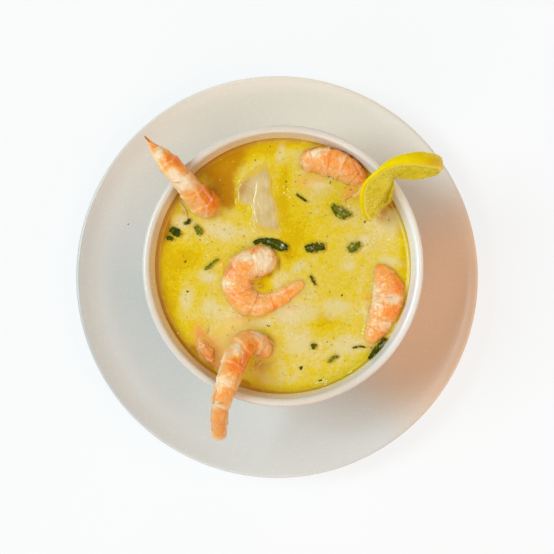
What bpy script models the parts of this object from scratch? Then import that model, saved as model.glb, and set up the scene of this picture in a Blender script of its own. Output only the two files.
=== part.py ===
"""A bowl of creamy tom yum soup on its plate: shrimps, a mushroom slice, cut herbs and a lemon slice on the rim.

Lengths are written in millimetres and turned into metres when a mesh is made.
The origin is under the middle of the plate, +Z is up and +Y is the far side of the table.
"""

import math

import bmesh
import bpy
from mathutils import Quaternion, Vector

MM = 0.001
GAP = 0.3

# The plate, a shallow porcelain one with a foot ring
PLATE_RADIUS = 115.0
PLATE_HEIGHT = 19.0
PLATE_WELL_TOP = 6.0
PLATE_WELL_RADIUS = 60.0
PLATE_THICKNESS = 4.2
PLATE_LIP_RADIUS = 1.6
PLATE_FOOT_INNER = 56.0
PLATE_FOOT_OUTER = 60.5
PLATE_FOOT_HEIGHT = 2.2
PLATE_FOOT_TAPER = 1.8
PLATE_SEGMENTS = 64
# How far out the stations of its top lie, from the lip to the well, and the power of its rise
PLATE_STATIONS = (0.85, 0.62, 0.4, 0.2, 0.0)
PLATE_RISE_POWER = 1.45
PLATE_LIP_ANGLES = (-50, -10, 40, 95)

# The bowl, which stands a little off the middle of the plate
BOWL_CENTRE = (3.2, 6.0)
BOWL_BASE = PLATE_WELL_TOP + GAP
BOWL_RADIUS = 76.3
BOWL_HEIGHT = 60.0
BOWL_LIP = 4.5
BOWL_FOOT_INNER = 31.5
BOWL_FOOT_OUTER = 36.0
BOWL_FOOT_HEIGHT = 3.5
BOWL_FLOOR = 6.8
BOWL_SEGMENTS = 60
BOWL_FOOT_TAPER = 1.0
BOWL_LIP_ANGLES = (10, 50, 90, 130)
# Points of (radius, height over the base) up its outside, and of (inset from the lip, height) down its inside
BOWL_OUTSIDE = ((47.0, 7.4), (57.0, 14.4), (64.8, 25.0), (70.4, 38.0), (74.2, 50.0))
BOWL_INSIDE = ((0.0, 58.0), (2.4, 51.2), (6.6, 38.5), (12.6, 26.5), (20.8, 16.8), (31.8, 10.0), (46.0, 7.4))

# The soup
SOUP_TOP = 57.5
MENISCUS_RISE = 0.8
MENISCUS_WIDTH = 2.0
SOUP_CLEAR = GAP + 0.05
FLAKE_RISE = 0.45
FLAKE_SINK = 0.8

# A shrimp is a spine of (x, y, z, half of the width), from its thick end to its tail.
# Flatness is its height over its width, and roll leans it outwards, in degrees.
SHRIMP_SIDES = 12
SHRIMPS = {
    "shrimp_a": {
        "spine": [
            (-35.5, 35.2, 56.6, 5.6),
            (-38.3, 38.7, 59.6, 8.0),
            (-42.6, 42.8, 64.0, 7.7),
            (-46.9, 47.9, 69.4, 7.0),
            (-51.2, 53.1, 73.0, 6.4),
            (-55.4, 57.8, 74.4, 6.2),
            (-59.2, 62.1, 74.4, 5.6),
            (-63.5, 66.5, 73.6, 4.3),
            (-67.6, 71.1, 72.3, 1.8),
            (-71.2, 75.8, 71.2, 0.5),
        ],
        "segments": 6,
        "flatness": 0.86,
        "roll": 0,
    },
    "shrimp_b": {
        "spine": [
            (13.1, 60.7, 57.0, 3.8),
            (15.8, 61.5, 57.6, 6.3),
            (19.9, 62.9, 58.4, 8.0),
            (24.9, 62.8, 59.4, 8.8),
            (32.1, 61.2, 60.0, 8.7),
            (38.0, 58.1, 60.0, 8.2),
            (43.2, 54.5, 59.0, 6.1),
            (46.7, 50.2, 57.6, 3.2),
            (44.9, 46.2, 57.0, 2.1),
            (41.3, 44.2, 57.0, 1.7),
        ],
        "segments": 6,
        "flatness": 0.62,
        "roll": 32,
    },
    "shrimp_c": {
        "spine": [
            (-1.4, 8.0, 58.2, 6.0),
            (-6.2, 8.8, 58.8, 8.2),
            (-11.8, 8.4, 59.0, 8.8),
            (-17.3, 5.8, 58.8, 8.7),
            (-21.0, 1.0, 58.4, 8.6),
            (-21.6, -5.0, 57.9, 8.6),
            (-19.0, -10.8, 57.4, 8.5),
            (-13.9, -14.5, 56.9, 8.1),
            (-7.1, -15.0, 56.5, 6.8),
            (0.0, -12.3, 56.4, 5.6),
            (6.6, -7.9, 56.6, 4.9),
            (12.0, -4.4, 56.8, 3.8),
            (14.8, -3.0, 57.0, 2.3),
        ],
        "segments": 7,
        "flatness": 0.6,
        "roll": 0,
    },
    "shrimp_d": {
        "spine": [
            (54.7, 6.0, 56.6, 3.8),
            (57.9, 1.1, 57.0, 6.6),
            (60.3, -5.5, 57.6, 8.9),
            (60.3, -12.6, 57.8, 9.1),
            (57.5, -20.6, 57.4, 8.0),
            (53.9, -28.4, 56.8, 7.0),
            (49.5, -34.6, 56.1, 4.4),
        ],
        "segments": 6,
        "flatness": 0.68,
        "roll": 12,
    },
    "shrimp_e": {
        "spine": [
            (-43.6, -28.2, 54.6, 2.7),
            (-41.4, -34.5, 55.2, 4.5),
            (-38.1, -41.1, 55.6, 5.4),
            (-34.4, -47.0, 55.8, 3.6),
        ],
        "segments": 4,
        "flatness": 0.72,
        "roll": 0,
    },
    "shrimp_f": {
        "spine": [
            (-6.4, -43.6, 56.6, 4.0),
            (-7.4, -39.2, 58.6, 5.4),
            (-11.9, -35.4, 61.4, 6.9),
            (-17.6, -36.4, 64.8, 7.4),
            (-21.5, -42.4, 68.6, 7.5),
            (-24.4, -50.5, 72.2, 7.1),
            (-27.3, -58.4, 74.0, 6.4),
            (-29.8, -67.0, 73.4, 5.6),
            (-31.0, -75.4, 70.2, 5.2),
            (-31.4, -82.8, 65.8, 4.8),
            (-31.5, -87.5, 62.0, 3.8),
        ],
        "segments": 7,
        "flatness": 0.84,
        "roll": 0,
    },
}
SHELL_STEP = 0.07
FIRST_RINGS = (0.3, 0.6, 0.98)
RINGS_PER_SEGMENT = (0.04, 0.5, 0.98)
END_SCALES = (0.55, 0.5)
END_POINTS = (0.25, 0.2)
DIRECTION_STEP = 0.02

# The lemon slice: cut to its middle, opened over the rim and bent into a cone.
# Its cut face is a fan of rays from LEMON_APEX, each with an azimuth and an elevation in degrees and a reach:
# 1 where the ray ends at the rind, less where it ends at the ragged edge of the slit.
LEMON_APEX = (62.9, 52.9, 72.7)
LEMON_RADIUS = 26.5
LEMON_RAYS = (
    (6, -20, 1),
    (10, 14, 1),
    (16, 46, 1),
    (31, 65, 1),
    (106, 79, 1),
    (180, 66, 1),
    (201, 47, 1),
    (223, 28, 1),
    (238, 2, 1),
    (245, -25, 1),
    (248, -34, 0.78),
    (256, -24, 0.5),
)
LEMON_THICK_OUTSIDE = 8.0
LEMON_THICK_INSIDE = 2.6
LEMON_RINGS = (0.18, 0.5, 0.94)
LEMON_RIND_BULGE = 0.5
LEMON_RIND_EDGE = 0.22
LEMON_HUB = 0.5

# The mushroom slice lies flat, its top just out of the soup
MUSHROOM_OUTLINE = (
    (-6.0, 63.8),
    (-2.7, 55.0),
    (-2.8, 47.0),
    (0.0, 41.0),
    (1.6, 30.6),
    (2.0, 23.6),
    (-5.0, 22.8),
    (-11.4, 25.2),
    (-14.2, 29.0),
    (-13.6, 35.0),
    (-15.4, 38.8),
    (-21.4, 39.8),
    (-22.0, 47.6),
    (-19.6, 53.2),
    (-15.8, 57.8),
    (-10.9, 60.8),
)
MUSHROOM_TOP = SOUP_TOP + 0.7
MUSHROOM_THICKNESS = 3.6
MUSHROOM_DOME = 0.5
MUSHROOM_TOP_EDGE = (0.9, 0.7)
MUSHROOM_UNDER_EDGE = (0.86, 0.9)

# Cut herbs floating on the soup: a spine of (x, y, half of the width)
HERB_THICKNESS = 0.45
HERB_WAVE = 0.25
HERB_WAVE_STEP = 1.9
HERB_TILT = 0.1
HERBS = {
    "herb_long": [(-13.0, 18.4, 0.9), (-8.7, 19.9, 1.6), (-3.6, 18.9, 2.3), (1.4, 16.8, 3.1), (6.2, 16.1, 1.5)],
    "herb_square": [(15.0, 15.3, 2.0), (20.8, 16.1, 2.9), (26.8, 16.9, 2.2)],
    "herb_right": [(38.5, 14.7, 1.7), (42.0, 16.4, 3.0), (46.0, 18.3, 1.4)],
    "herb_upper": [(30.0, 39.4, 1.4), (33.4, 36.0, 3.2), (37.2, 34.1, 2.7), (40.6, 35.0, 1.0)],
    "herb_left": [(-59.0, 26.3, 1.4), (-56.2, 25.1, 2.4), (-52.8, 22.6, 1.6)],
    "herb_left_low": [(-60.8, 20.8, 0.8), (-58.5, 21.3, 1.3), (-56.0, 20.2, 0.8)],
    "herb_left_curl": [(-51.0, 29.0, 0.7), (-48.6, 29.8, 1.1), (-47.4, 32.0, 0.8)],
    "herb_pale": [(-45.0, 28.4, 1.5), (-42.9, 25.7, 2.0), (-42.0, 22.7, 1.3)],
    "herb_stem_left": [(-39.9, 4.1, 0.8), (-37.1, 5.7, 1.1), (-34.4, 8.2, 0.9), (-31.7, 10.1, 0.5)],
    "herb_thread": [(10.4, 45.3, 0.6), (13.1, 43.4, 0.8), (16.4, 41.0, 0.6)],
    "herb_tick": [(18.0, 1.1, 0.7), (19.4, -1.6, 0.8), (21.3, -4.9, 0.7)],
    "herb_low": [(27.8, -47.0, 0.7), (30.6, -44.2, 1.1), (33.9, -43.1, 0.7)],
    "herb_round": [(18.3, -37.7, 1.2), (20.2, -37.7, 1.9), (21.8, -37.7, 1.2)],
    "herb_strand": [(41.2, -38.8, 0.5), (45.2, -37.9, 0.7), (48.4, -38.4, 0.5)],
    "herb_wall": [(49.7, -44.8, 0.8), (55.2, -39.2, 0.9), (59.6, -33.5, 0.7)],
}
HERB_STATIONS_PER_POINT = 3
HERB_ON_WALL = "herb_wall"
HERB_WALL_RISE = 2.1

# Flakes small enough to belong to the soup's own surface: x, y, size, and turn in degrees
FLAKES = (
    (13.0, -49.0, 1.5, 20),
    (-50.0, 8.6, 0.8, 60),
    (-49.0, -8.0, 0.9, 10),
    (4.8, 52.0, 0.8, 35),
    (29.5, 51.2, 0.9, 80),
    (24.0, -56.6, 1.2, 5),
    (-4.6, -27.0, 0.8, 50),
    (35.6, -10.0, 0.9, 15),
    (48.0, 30.0, 0.8, 70),
)
FLAKE_SIDES = 5
FLAKE_FOOT = 0.7
FLAKE_NOTCH = 0.75

PORCELAIN = ((0.86, 0.86, 0.83), 0.18)
SOUP_YELLOW = ((0.80, 0.62, 0.14), 0.2)
SHRIMP_ORANGE = ((0.92, 0.42, 0.16), 0.35)
LEMON_YELLOW = ((0.86, 0.72, 0.05), 0.35)
MUSHROOM_BEIGE = ((0.72, 0.55, 0.30), 0.35)
HERB_GREEN = ((0.05, 0.16, 0.03), 0.4)


def clear_scene():
    for item in list(bpy.data.objects):
        bpy.data.objects.remove(item)


def finish_of(name, look):
    colour, roughness = look
    material = bpy.data.materials.new(name)
    material.use_nodes = True
    shader = material.node_tree.nodes["Principled BSDF"]
    shader.inputs["Base Color"].default_value = (*colour, 1.0)
    shader.inputs["Roughness"].default_value = roughness
    return material


def add_object(name, points, faces, material):
    """One closed mesh from points in millimetres, with its faces turned outwards."""
    mesh = bpy.data.meshes.new(name)
    mesh.from_pydata([[c * MM for c in p] for p in points], [], faces)
    shape = bmesh.new()
    shape.from_mesh(mesh)
    bmesh.ops.recalc_face_normals(shape, faces=shape.faces)
    bmesh.ops.triangulate(shape, faces=[f for f in shape.faces if len(f.verts) > 4])
    shape.to_mesh(mesh)
    shape.free()
    mesh.shade_smooth()
    mesh.set_sharp_from_angle(angle=math.radians(40))
    mesh.materials.append(material)
    item = bpy.data.objects.new(name, mesh)
    bpy.context.scene.collection.objects.link(item)
    return item


def cut_with(item, cutter):
    cutter.hide_render = True
    cutter.display_type = "WIRE"
    cut = item.modifiers.new("Cut " + cutter.name, "BOOLEAN")
    cut.operation = "DIFFERENCE"
    cut.object = cutter


def smooth_through(points, per_span):
    """A Catmull-Rom curve through rows of numbers, with per_span steps between two of them."""
    rows = [tuple(2 * a - b for a, b in zip(points[0], points[1]))]
    rows += list(points)
    rows.append(tuple(2 * a - b for a, b in zip(points[-1], points[-2])))
    curve = []
    for i in range(1, len(rows) - 2):
        for step in range(per_span):
            t = step / per_span
            weights = (
                -0.5 * t + t * t - 0.5 * t**3,
                1 - 2.5 * t * t + 1.5 * t**3,
                0.5 * t + 2 * t * t - 1.5 * t**3,
                -0.5 * t * t + 0.5 * t**3,
            )
            near = rows[i - 1 : i + 3]
            curve.append(tuple(sum(w * r[k] for w, r in zip(weights, near)) for k in range(len(rows[0]))))
    curve.append(tuple(points[-1]))
    return curve


def at_length(curve, fraction):
    """The row at a fraction of the length of a curve, by its first two numbers and its third if it has four."""
    size = len(curve[0]) - 1
    lengths = [0.0]
    for a, b in zip(curve, curve[1:]):
        lengths.append(lengths[-1] + math.dist(a[:size], b[:size]))
    target = fraction * lengths[-1]
    for i, (start, end) in enumerate(zip(lengths, lengths[1:])):
        if target <= end:
            t = (target - start) / (end - start)
            return tuple(a + t * (b - a) for a, b in zip(curve[i], curve[i + 1]))
    return curve[-1]


def turned(name, profile, centre, segments, material):
    """A profile of (radius, height) turned about an upright axis. Its first and last points lie on the axis."""
    points = [(centre[0], centre[1], profile[0][1])]
    points.append((centre[0], centre[1], profile[-1][1]))
    rings = profile[1:-1]
    for radius, height in rings:
        for i in range(segments):
            angle = 2 * math.pi * i / segments
            points.append((centre[0] + radius * math.cos(angle), centre[1] + radius * math.sin(angle), height))
    faces = []
    for i in range(segments):
        j = (i + 1) % segments
        faces.append((0, 2 + j, 2 + i))
        last = 2 + (len(rings) - 1) * segments
        faces.append((1, last + i, last + j))
        for k in range(len(rings) - 1):
            low = 2 + k * segments
            faces.append((low + i, low + j, low + segments + j, low + segments + i))
    return add_object(name, points, faces, material)


def make_plate(material):
    lip_centre = (PLATE_RADIUS - PLATE_LIP_RADIUS, PLATE_HEIGHT - PLATE_LIP_RADIUS)
    lip = []
    for degrees in PLATE_LIP_ANGLES:
        angle = math.radians(degrees)
        lip.append(
            (lip_centre[0] + PLATE_LIP_RADIUS * math.cos(angle), lip_centre[1] + PLATE_LIP_RADIUS * math.sin(angle))
        )
    top = []
    for t in PLATE_STATIONS:
        radius = PLATE_WELL_RADIUS + t * (lip_centre[0] - PLATE_WELL_RADIUS)
        top.append((radius, PLATE_WELL_TOP + (PLATE_HEIGHT - PLATE_WELL_TOP) * t**PLATE_RISE_POWER))
    under = [(r + 1.0, z - PLATE_THICKNESS) for r, z in reversed(top[:-1])]
    profile = [(0, PLATE_FOOT_HEIGHT), (PLATE_FOOT_INNER - PLATE_FOOT_TAPER, PLATE_FOOT_HEIGHT)]
    profile += [(PLATE_FOOT_INNER, 0), (PLATE_FOOT_OUTER, 0)]
    profile += [(PLATE_FOOT_OUTER + PLATE_FOOT_TAPER, PLATE_FOOT_HEIGHT)]
    profile += under + lip + top + [(0, PLATE_WELL_TOP)]
    return turned("plate", profile, (0, 0), PLATE_SEGMENTS, material)


def bowl_wall():
    """The inside of the bowl from just under its lip down to its floor, as (radius, height over its base)."""
    return [(BOWL_RADIUS - BOWL_LIP - inset, height) for inset, height in BOWL_INSIDE]


def make_bowl(material):
    lip_radius = BOWL_LIP / 2
    lip_centre = BOWL_RADIUS - lip_radius
    lip = []
    for degrees in BOWL_LIP_ANGLES:
        angle = math.radians(degrees)
        lip.append((lip_centre + lip_radius * math.cos(angle), BOWL_HEIGHT - lip_radius * (1 - math.sin(angle))))
    recess = BOWL_FOOT_HEIGHT - BOWL_FOOT_TAPER
    profile = [(0, recess), (BOWL_FOOT_INNER - BOWL_FOOT_TAPER, recess), (BOWL_FOOT_INNER, 0)]
    profile += [(BOWL_FOOT_OUTER, 0), (BOWL_FOOT_OUTER + BOWL_FOOT_TAPER, BOWL_FOOT_HEIGHT)]
    profile += list(BOWL_OUTSIDE) + lip + bowl_wall() + [(0, BOWL_FLOOR)]
    profile = [(radius, BOWL_BASE + height) for radius, height in profile]
    return turned("bowl", profile, BOWL_CENTRE, BOWL_SEGMENTS, material)


def make_soup(material):
    """Fills the bowl a gap short of its wall, with an edge that climbs the wall."""
    wall = [(r - SOUP_CLEAR, BOWL_BASE + z + SOUP_CLEAR) for r, z in reversed(bowl_wall())]
    low, high = bowl_wall()[1], bowl_wall()[0]
    slope = (high[0] - low[0]) / (high[1] - low[1])
    edge_height = SOUP_TOP + MENISCUS_RISE
    edge = low[0] + slope * (edge_height - BOWL_BASE - low[1]) - SOUP_CLEAR
    profile = [(0, BOWL_BASE + BOWL_FLOOR + SOUP_CLEAR)]
    profile += [(r, z) for r, z in wall if z < SOUP_TOP - MENISCUS_WIDTH]
    profile += [(edge, edge_height), (edge - MENISCUS_WIDTH, SOUP_TOP), (0, SOUP_TOP)]
    return turned("soup", profile, BOWL_CENTRE, BOWL_SEGMENTS, material)


def fuse_flakes(soup, material):
    flakes = bpy.data.collections.new("flakes")
    for number, (x, y, size, turn) in enumerate(FLAKES):
        points = []
        for height, spread in ((SOUP_TOP - FLAKE_SINK, FLAKE_FOOT), (SOUP_TOP + FLAKE_RISE, 1.0)):
            for i in range(FLAKE_SIDES):
                angle = math.radians(turn) + 2 * math.pi * i / FLAKE_SIDES
                reach = size * spread * (1.0 if i % 2 else FLAKE_NOTCH)
                points.append((x + reach * math.cos(angle), y + reach * math.sin(angle), height))
        sides = range(FLAKE_SIDES)
        faces = [tuple(sides), tuple(FLAKE_SIDES + i for i in sides)]
        faces += [(i, (i + 1) % FLAKE_SIDES, FLAKE_SIDES + (i + 1) % FLAKE_SIDES, FLAKE_SIDES + i) for i in sides]
        flake = add_object(f"flake_{number}", points, faces, material)
        flakes.objects.link(flake)
    join = soup.modifiers.new("Flakes", "BOOLEAN")
    join.operation = "UNION"
    join.operand_type = "COLLECTION"
    join.collection = flakes
    bpy.context.view_layer.update()
    seen = bpy.context.evaluated_depsgraph_get()
    mesh = bpy.data.meshes.new_from_object(soup.evaluated_get(seen))
    soup.modifiers.clear()
    soup.data = mesh
    for flake in list(flakes.objects):
        bpy.data.objects.remove(flake)
    bpy.data.collections.remove(flakes)


def shrimp_rings(shape):
    """Fractions of the length, each with the scale of the body there: every segment flares towards its rear edge."""
    count = shape["segments"]
    rings = [(0.0, END_SCALES[0])]
    for segment in range(count):
        for t in RINGS_PER_SEGMENT if segment else FIRST_RINGS:
            rings.append(((segment + t) / count, 1 - SHELL_STEP * (1 - t)))
    rings.append((1.0, END_SCALES[1]))
    return rings


def make_shrimp(name, shape, material, grow=0.0):
    """Oval rings along the spine, closed by a point at each end. grow makes a larger copy for the cut round it."""
    curve = smooth_through(shape["spine"], 6)
    rings = shrimp_rings(shape)
    points = []
    for fraction, scale in rings:
        here = at_length(curve, fraction)
        before = Vector(at_length(curve, max(fraction - DIRECTION_STEP, 0))[:3])
        after = Vector(at_length(curve, min(fraction + DIRECTION_STEP, 1))[:3])
        along = (after - before).normalized()
        side = along.cross(Vector((0, 0, 1))).normalized()
        side.rotate(Quaternion(along, math.radians(shape["roll"])))
        up = side.cross(along)
        wide = here[3] * scale + grow
        high = here[3] * scale * shape["flatness"] + grow
        for i in range(SHRIMP_SIDES):
            angle = 2 * math.pi * i / SHRIMP_SIDES
            points.append(Vector(here[:3]) + side * wide * math.cos(angle) + up * high * math.sin(angle))
        if fraction == 0.0:
            points.insert(0, Vector(here[:3]) - along * (END_POINTS[0] * here[3] + grow))
        if fraction == 1.0:
            points.append(Vector(here[:3]) + along * (END_POINTS[1] * here[3] + grow))
    faces = []
    last = 1 + (len(rings) - 1) * SHRIMP_SIDES
    for i in range(SHRIMP_SIDES):
        j = (i + 1) % SHRIMP_SIDES
        faces.append((0, 1 + j, 1 + i))
        faces.append((len(points) - 1, last + i, last + j))
        for k in range(len(rings) - 1):
            low = 1 + k * SHRIMP_SIDES
            high = low + SHRIMP_SIDES
            faces.append((low + i, low + j, high + j))
            faces.append((low + i, high + j, high + i))
    return add_object(name, points, faces, material)


def ray_of(azimuth, elevation):
    a, e = math.radians(azimuth), math.radians(elevation)
    return Vector((math.cos(e) * math.cos(a), math.cos(e) * math.sin(a), math.sin(e)))


def make_lemon(material, name="lemon_slice", grow=0.0):
    """The cut face in front, the same fan set back by the thickness behind it, and the rind between their edges."""
    rays = [(*ray_of(azimuth, elevation), reach) for azimuth, elevation, reach in LEMON_RAYS]
    curve = smooth_through(rays, 2)
    directions = [Vector(ray[:3]).normalized() for ray in curve]
    last = len(directions) - 1
    backs = []
    for i, here in enumerate(directions):
        ahead = directions[min(i + 1, last)] - directions[max(i - 1, 0)]
        backs.append(ahead.cross(here).normalized())
    middle = sum(backs, Vector()).normalized()
    apex = Vector(LEMON_APEX)
    points = [apex - middle * grow, apex + middle * (LEMON_THICK_INSIDE + grow)]
    columns = []
    for i, (here, back) in enumerate(zip(directions, backs)):
        share = i / last
        reach = min(curve[i][3], 1.0)
        thick = LEMON_THICK_OUTSIDE + share * (LEMON_THICK_INSIDE - LEMON_THICK_OUTSIDE)
        front, rear = [], []
        for ring in LEMON_RINGS:
            blend = min(ring / LEMON_HUB, 1.0)
            away = middle.lerp(back, blend).normalized()
            deep = LEMON_THICK_INSIDE + blend * (thick - LEMON_THICK_INSIDE)
            place = apex + here * ((LEMON_RADIUS * reach + grow) * ring)
            front.append(place - away * grow)
            rear.append(place + away * (deep + grow))
        rim = apex + here * (LEMON_RADIUS * reach + LEMON_RIND_BULGE + grow)
        edge = [rim + back * (deep * thick) for deep in (LEMON_RIND_EDGE, 1 - LEMON_RIND_EDGE)]
        start = len(points)
        points += front + edge + rear[::-1]
        columns.append(range(start, start + len(front) + len(edge) + len(rear)))
    faces = []
    for one, two in zip(columns, columns[1:]):
        faces.append((0, one[0], two[0]))
        faces.append((1, two[-1], one[-1]))
        for k in range(len(one) - 1):
            faces.append((one[k], one[k + 1], two[k + 1]))
            faces.append((one[k], two[k + 1], two[k]))
    for column in (columns[0], columns[-1]):
        count = len(column)
        faces.append((0, 1, column[-1], column[0]))
        for k in range(count // 2 - 1):
            faces.append((column[k], column[k + 1], column[count - 2 - k], column[count - 1 - k]))
    return add_object(name, points, faces, material)


def make_mushroom(material, name="mushroom_slice", grow=0.0):
    """A slab with a rounded outline and a faintly domed top."""
    centre = [sum(p[k] for p in MUSHROOM_OUTLINE) / len(MUSHROOM_OUTLINE) for k in (0, 1)]
    outline = smooth_through(list(MUSHROOM_OUTLINE) + [MUSHROOM_OUTLINE[0]], 2)[:-1]
    count = len(outline)
    levels = (
        (MUSHROOM_UNDER_EDGE[0], MUSHROOM_TOP - MUSHROOM_THICKNESS - grow),
        (1.0, MUSHROOM_TOP - MUSHROOM_THICKNESS + MUSHROOM_UNDER_EDGE[1]),
        (1.0, MUSHROOM_TOP - MUSHROOM_TOP_EDGE[1]),
        (MUSHROOM_TOP_EDGE[0], MUSHROOM_TOP + grow),
    )
    points = [(centre[0], centre[1], levels[0][1]), (centre[0], centre[1], MUSHROOM_TOP + MUSHROOM_DOME + grow)]
    for share, height in levels:
        for x, y in outline:
            away = Vector((x - centre[0], y - centre[1]))
            away = away * share + away.normalized() * grow
            points.append((centre[0] + away.x, centre[1] + away.y, height))
    faces = []
    for i in range(count):
        j = (i + 1) % count
        faces.append((0, 2 + j, 2 + i))
        last = 2 + (len(levels) - 1) * count
        faces.append((1, last + i, last + j))
        for k in range(len(levels) - 1):
            low = 2 + k * count
            faces.append((low + i, low + j, low + count + j, low + count + i))
    return add_object(name, points, faces, material)


def make_herb(name, spine, material):
    """A thin wavy blade just over the soup, both its faces split into the same triangles."""
    curve = smooth_through(spine, 6)
    stations = HERB_STATIONS_PER_POINT * (len(spine) - 1) + 1
    base = SOUP_TOP + (HERB_WALL_RISE if name == HERB_ON_WALL else GAP)
    rows = []
    for step in range(stations):
        share = step / (stations - 1)
        x, y, half = at_length(curve, share)
        before = Vector(at_length(curve, max(share - DIRECTION_STEP, 0))[:2])
        after = Vector(at_length(curve, min(share + DIRECTION_STEP, 1))[:2])
        along = (after - before).normalized()
        side = Vector((-along.y, along.x))
        lift = base + HERB_WAVE * (1 + math.sin(step * HERB_WAVE_STEP))
        row = []
        for reach, rise in ((-1, 0.0), (0, HERB_WAVE), (1, HERB_TILT)):
            row.append((x + side.x * reach * half, y + side.y * reach * half, lift + rise))
        rows.append(row)
    points = [p for row in rows for p in row]
    points += [(x, y, z + HERB_THICKNESS) for x, y, z in points]
    half_count = len(points) // 2
    faces = []
    for k in range(stations - 1):
        for a in (0, 1):
            i = 3 * k + a
            for first, second, third in ((i, i + 1, i + 4), (i, i + 4, i + 3)):
                faces.append((first, third, second))
                faces.append((first + half_count, second + half_count, third + half_count))
    border = [3 * k for k in range(stations)]
    border += [3 * (stations - 1) + 1] + [3 * k + 2 for k in reversed(range(stations))] + [1]
    for a, b in zip(border, border[1:] + border[:1]):
        faces.append((a, b, b + half_count))
        faces.append((a, b + half_count, a + half_count))
    return add_object(name, points, faces, material)


def build():
    clear_scene()
    porcelain = finish_of("porcelain", PORCELAIN)
    soup_look = finish_of("soup", SOUP_YELLOW)
    shrimp_look = finish_of("shrimp", SHRIMP_ORANGE)
    lemon_look = finish_of("lemon", LEMON_YELLOW)
    mushroom_look = finish_of("mushroom", MUSHROOM_BEIGE)
    herb_look = finish_of("herb", HERB_GREEN)

    make_plate(porcelain)
    make_bowl(porcelain)
    soup = make_soup(soup_look)
    fuse_flakes(soup, soup_look)
    for name, shape in SHRIMPS.items():
        make_shrimp(name, shape, shrimp_look)
        cut_with(soup, make_shrimp("room_" + name, shape, shrimp_look, GAP))
    make_lemon(lemon_look)
    cut_with(soup, make_lemon(lemon_look, "room_lemon", GAP))
    make_mushroom(mushroom_look)
    cut_with(soup, make_mushroom(mushroom_look, "room_mushroom", GAP))
    for name, spine in HERBS.items():
        make_herb(name, spine, herb_look)


build()
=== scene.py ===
"""The looks of a bowl of creamy tom yum soup on its plate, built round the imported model.

Lengths are in millimetres until add_piece turns them into metres. The camera looks straight down,
and seen() turns a place in its picture into the place on the table that shows there. Tables that
speak of the picture give places and widths in its pixels.
"""

import math

import bmesh
import bpy
import numpy as np
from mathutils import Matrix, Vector
from mathutils.bvhtree import BVHTree


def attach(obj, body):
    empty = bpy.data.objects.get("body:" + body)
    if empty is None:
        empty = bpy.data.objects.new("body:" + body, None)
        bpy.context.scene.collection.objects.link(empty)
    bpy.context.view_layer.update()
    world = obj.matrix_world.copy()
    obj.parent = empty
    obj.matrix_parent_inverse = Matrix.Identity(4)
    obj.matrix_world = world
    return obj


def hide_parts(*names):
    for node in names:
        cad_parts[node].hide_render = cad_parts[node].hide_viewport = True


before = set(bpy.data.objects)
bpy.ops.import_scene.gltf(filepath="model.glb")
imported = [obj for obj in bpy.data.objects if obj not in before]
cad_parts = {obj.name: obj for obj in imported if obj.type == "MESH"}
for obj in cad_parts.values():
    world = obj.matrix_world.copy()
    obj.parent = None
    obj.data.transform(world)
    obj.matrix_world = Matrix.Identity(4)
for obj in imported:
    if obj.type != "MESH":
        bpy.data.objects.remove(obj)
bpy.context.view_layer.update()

MM = 0.001
PICTURE = 554
FOCAL_PIXELS = 1542.0
CAMERA_HEIGHT = 900.0
# In metres: how far the floor runs each way, how far it turns up at its end, so that low views see
# nothing past it, and how far it lies under the plate
FLOOR_REACH, FLOOR_UPTURN, FLOOR_DROP = 9.0, 0.6, 0.0001
# In metres: how far the lamps stand from the point over the plate that they are aimed at, and its height
LAMP_DISTANCE, LAMP_AIM = 4.0, 0.05
# The lamps: azimuth and elevation in degrees, size in metres, and colour
LAMPS = {
    "cool_key": (168, 45, 2.0, (0.38, 0.51, 0.57)),
    "warm_right": (-12, 47, 3.8, (0.35, 0.268, 0.195)),
    "warm_front": (-100, 46, 3.0, (0.30, 0.230, 0.20)),
    "warm_back": (80, 50, 3.0, (0.14, 0.094, 0.065)),
}

# The plate and the bowl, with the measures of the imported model
PLATE_RADIUS, PLATE_HEIGHT = 115.0, 19.0
PLATE_WELL_TOP, PLATE_WELL_RADIUS = 6.0, 60.0
PLATE_THICKNESS, PLATE_LIP = 4.2, 1.6
PLATE_FOOT = ((54.2, 2.2), (56.0, 0.0), (60.5, 0.0), (62.3, 2.2))
# Which way from its middle painted light makes the plate brighter and warmer, which way a painted warm
# shadow lies, in degrees, and from which radius on that shadow is painted
PLATE_PAINTED_LIGHT_SIDE, PLATE_PAINTED_SHADOW_SIDE, PLATE_PAINTED_SHADOW_FROM = 98, -12, 50
BOWL_CENTRE = np.array((3.2, 6.0))
BOWL_BASE, BOWL_RADIUS, BOWL_HEIGHT, BOWL_LIP = 6.3, 76.3, 60.0, 4.5
BOWL_FOOT = ((0, 2.5), (18, 2.5), (30.5, 2.5), (31.5, 0), (36.0, 0))
BOWL_OUTSIDE = ((37.0, 3.5), (47.0, 7.4), (57.0, 14.4), (64.8, 25.0), (70.4, 38.0), (74.2, 50.0))
BOWL_INSIDE = ((0.0, 58.0), (2.4, 51.2), (6.6, 38.5), (12.6, 26.5), (20.8, 16.8), (31.8, 10.0), (46.0, 7.4))
# Film and shade on the bowl lie only above this height
BOWL_UPPER = 50
# How many points a ring of the plate and of the bowl has
TURNS = 288

# The soup's level, its clearance under the surface, its overlap with the wall at its edge, how far that
# climbs, and the height of its lowest point over the bowl's base
SOUP_TOP = 57.5
SOUP_CLEAR, SOUP_OVERLAP = 0.35, 0.05
MENISCUS_RISE = 0.8
SOUP_BOTTOM = 7.2
SOUP_TURNS, SOUP_RINGS = 470, 194
# Floating pieces further from a place than this have no effect on it
NEAR_LIMIT = 9.0

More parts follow.
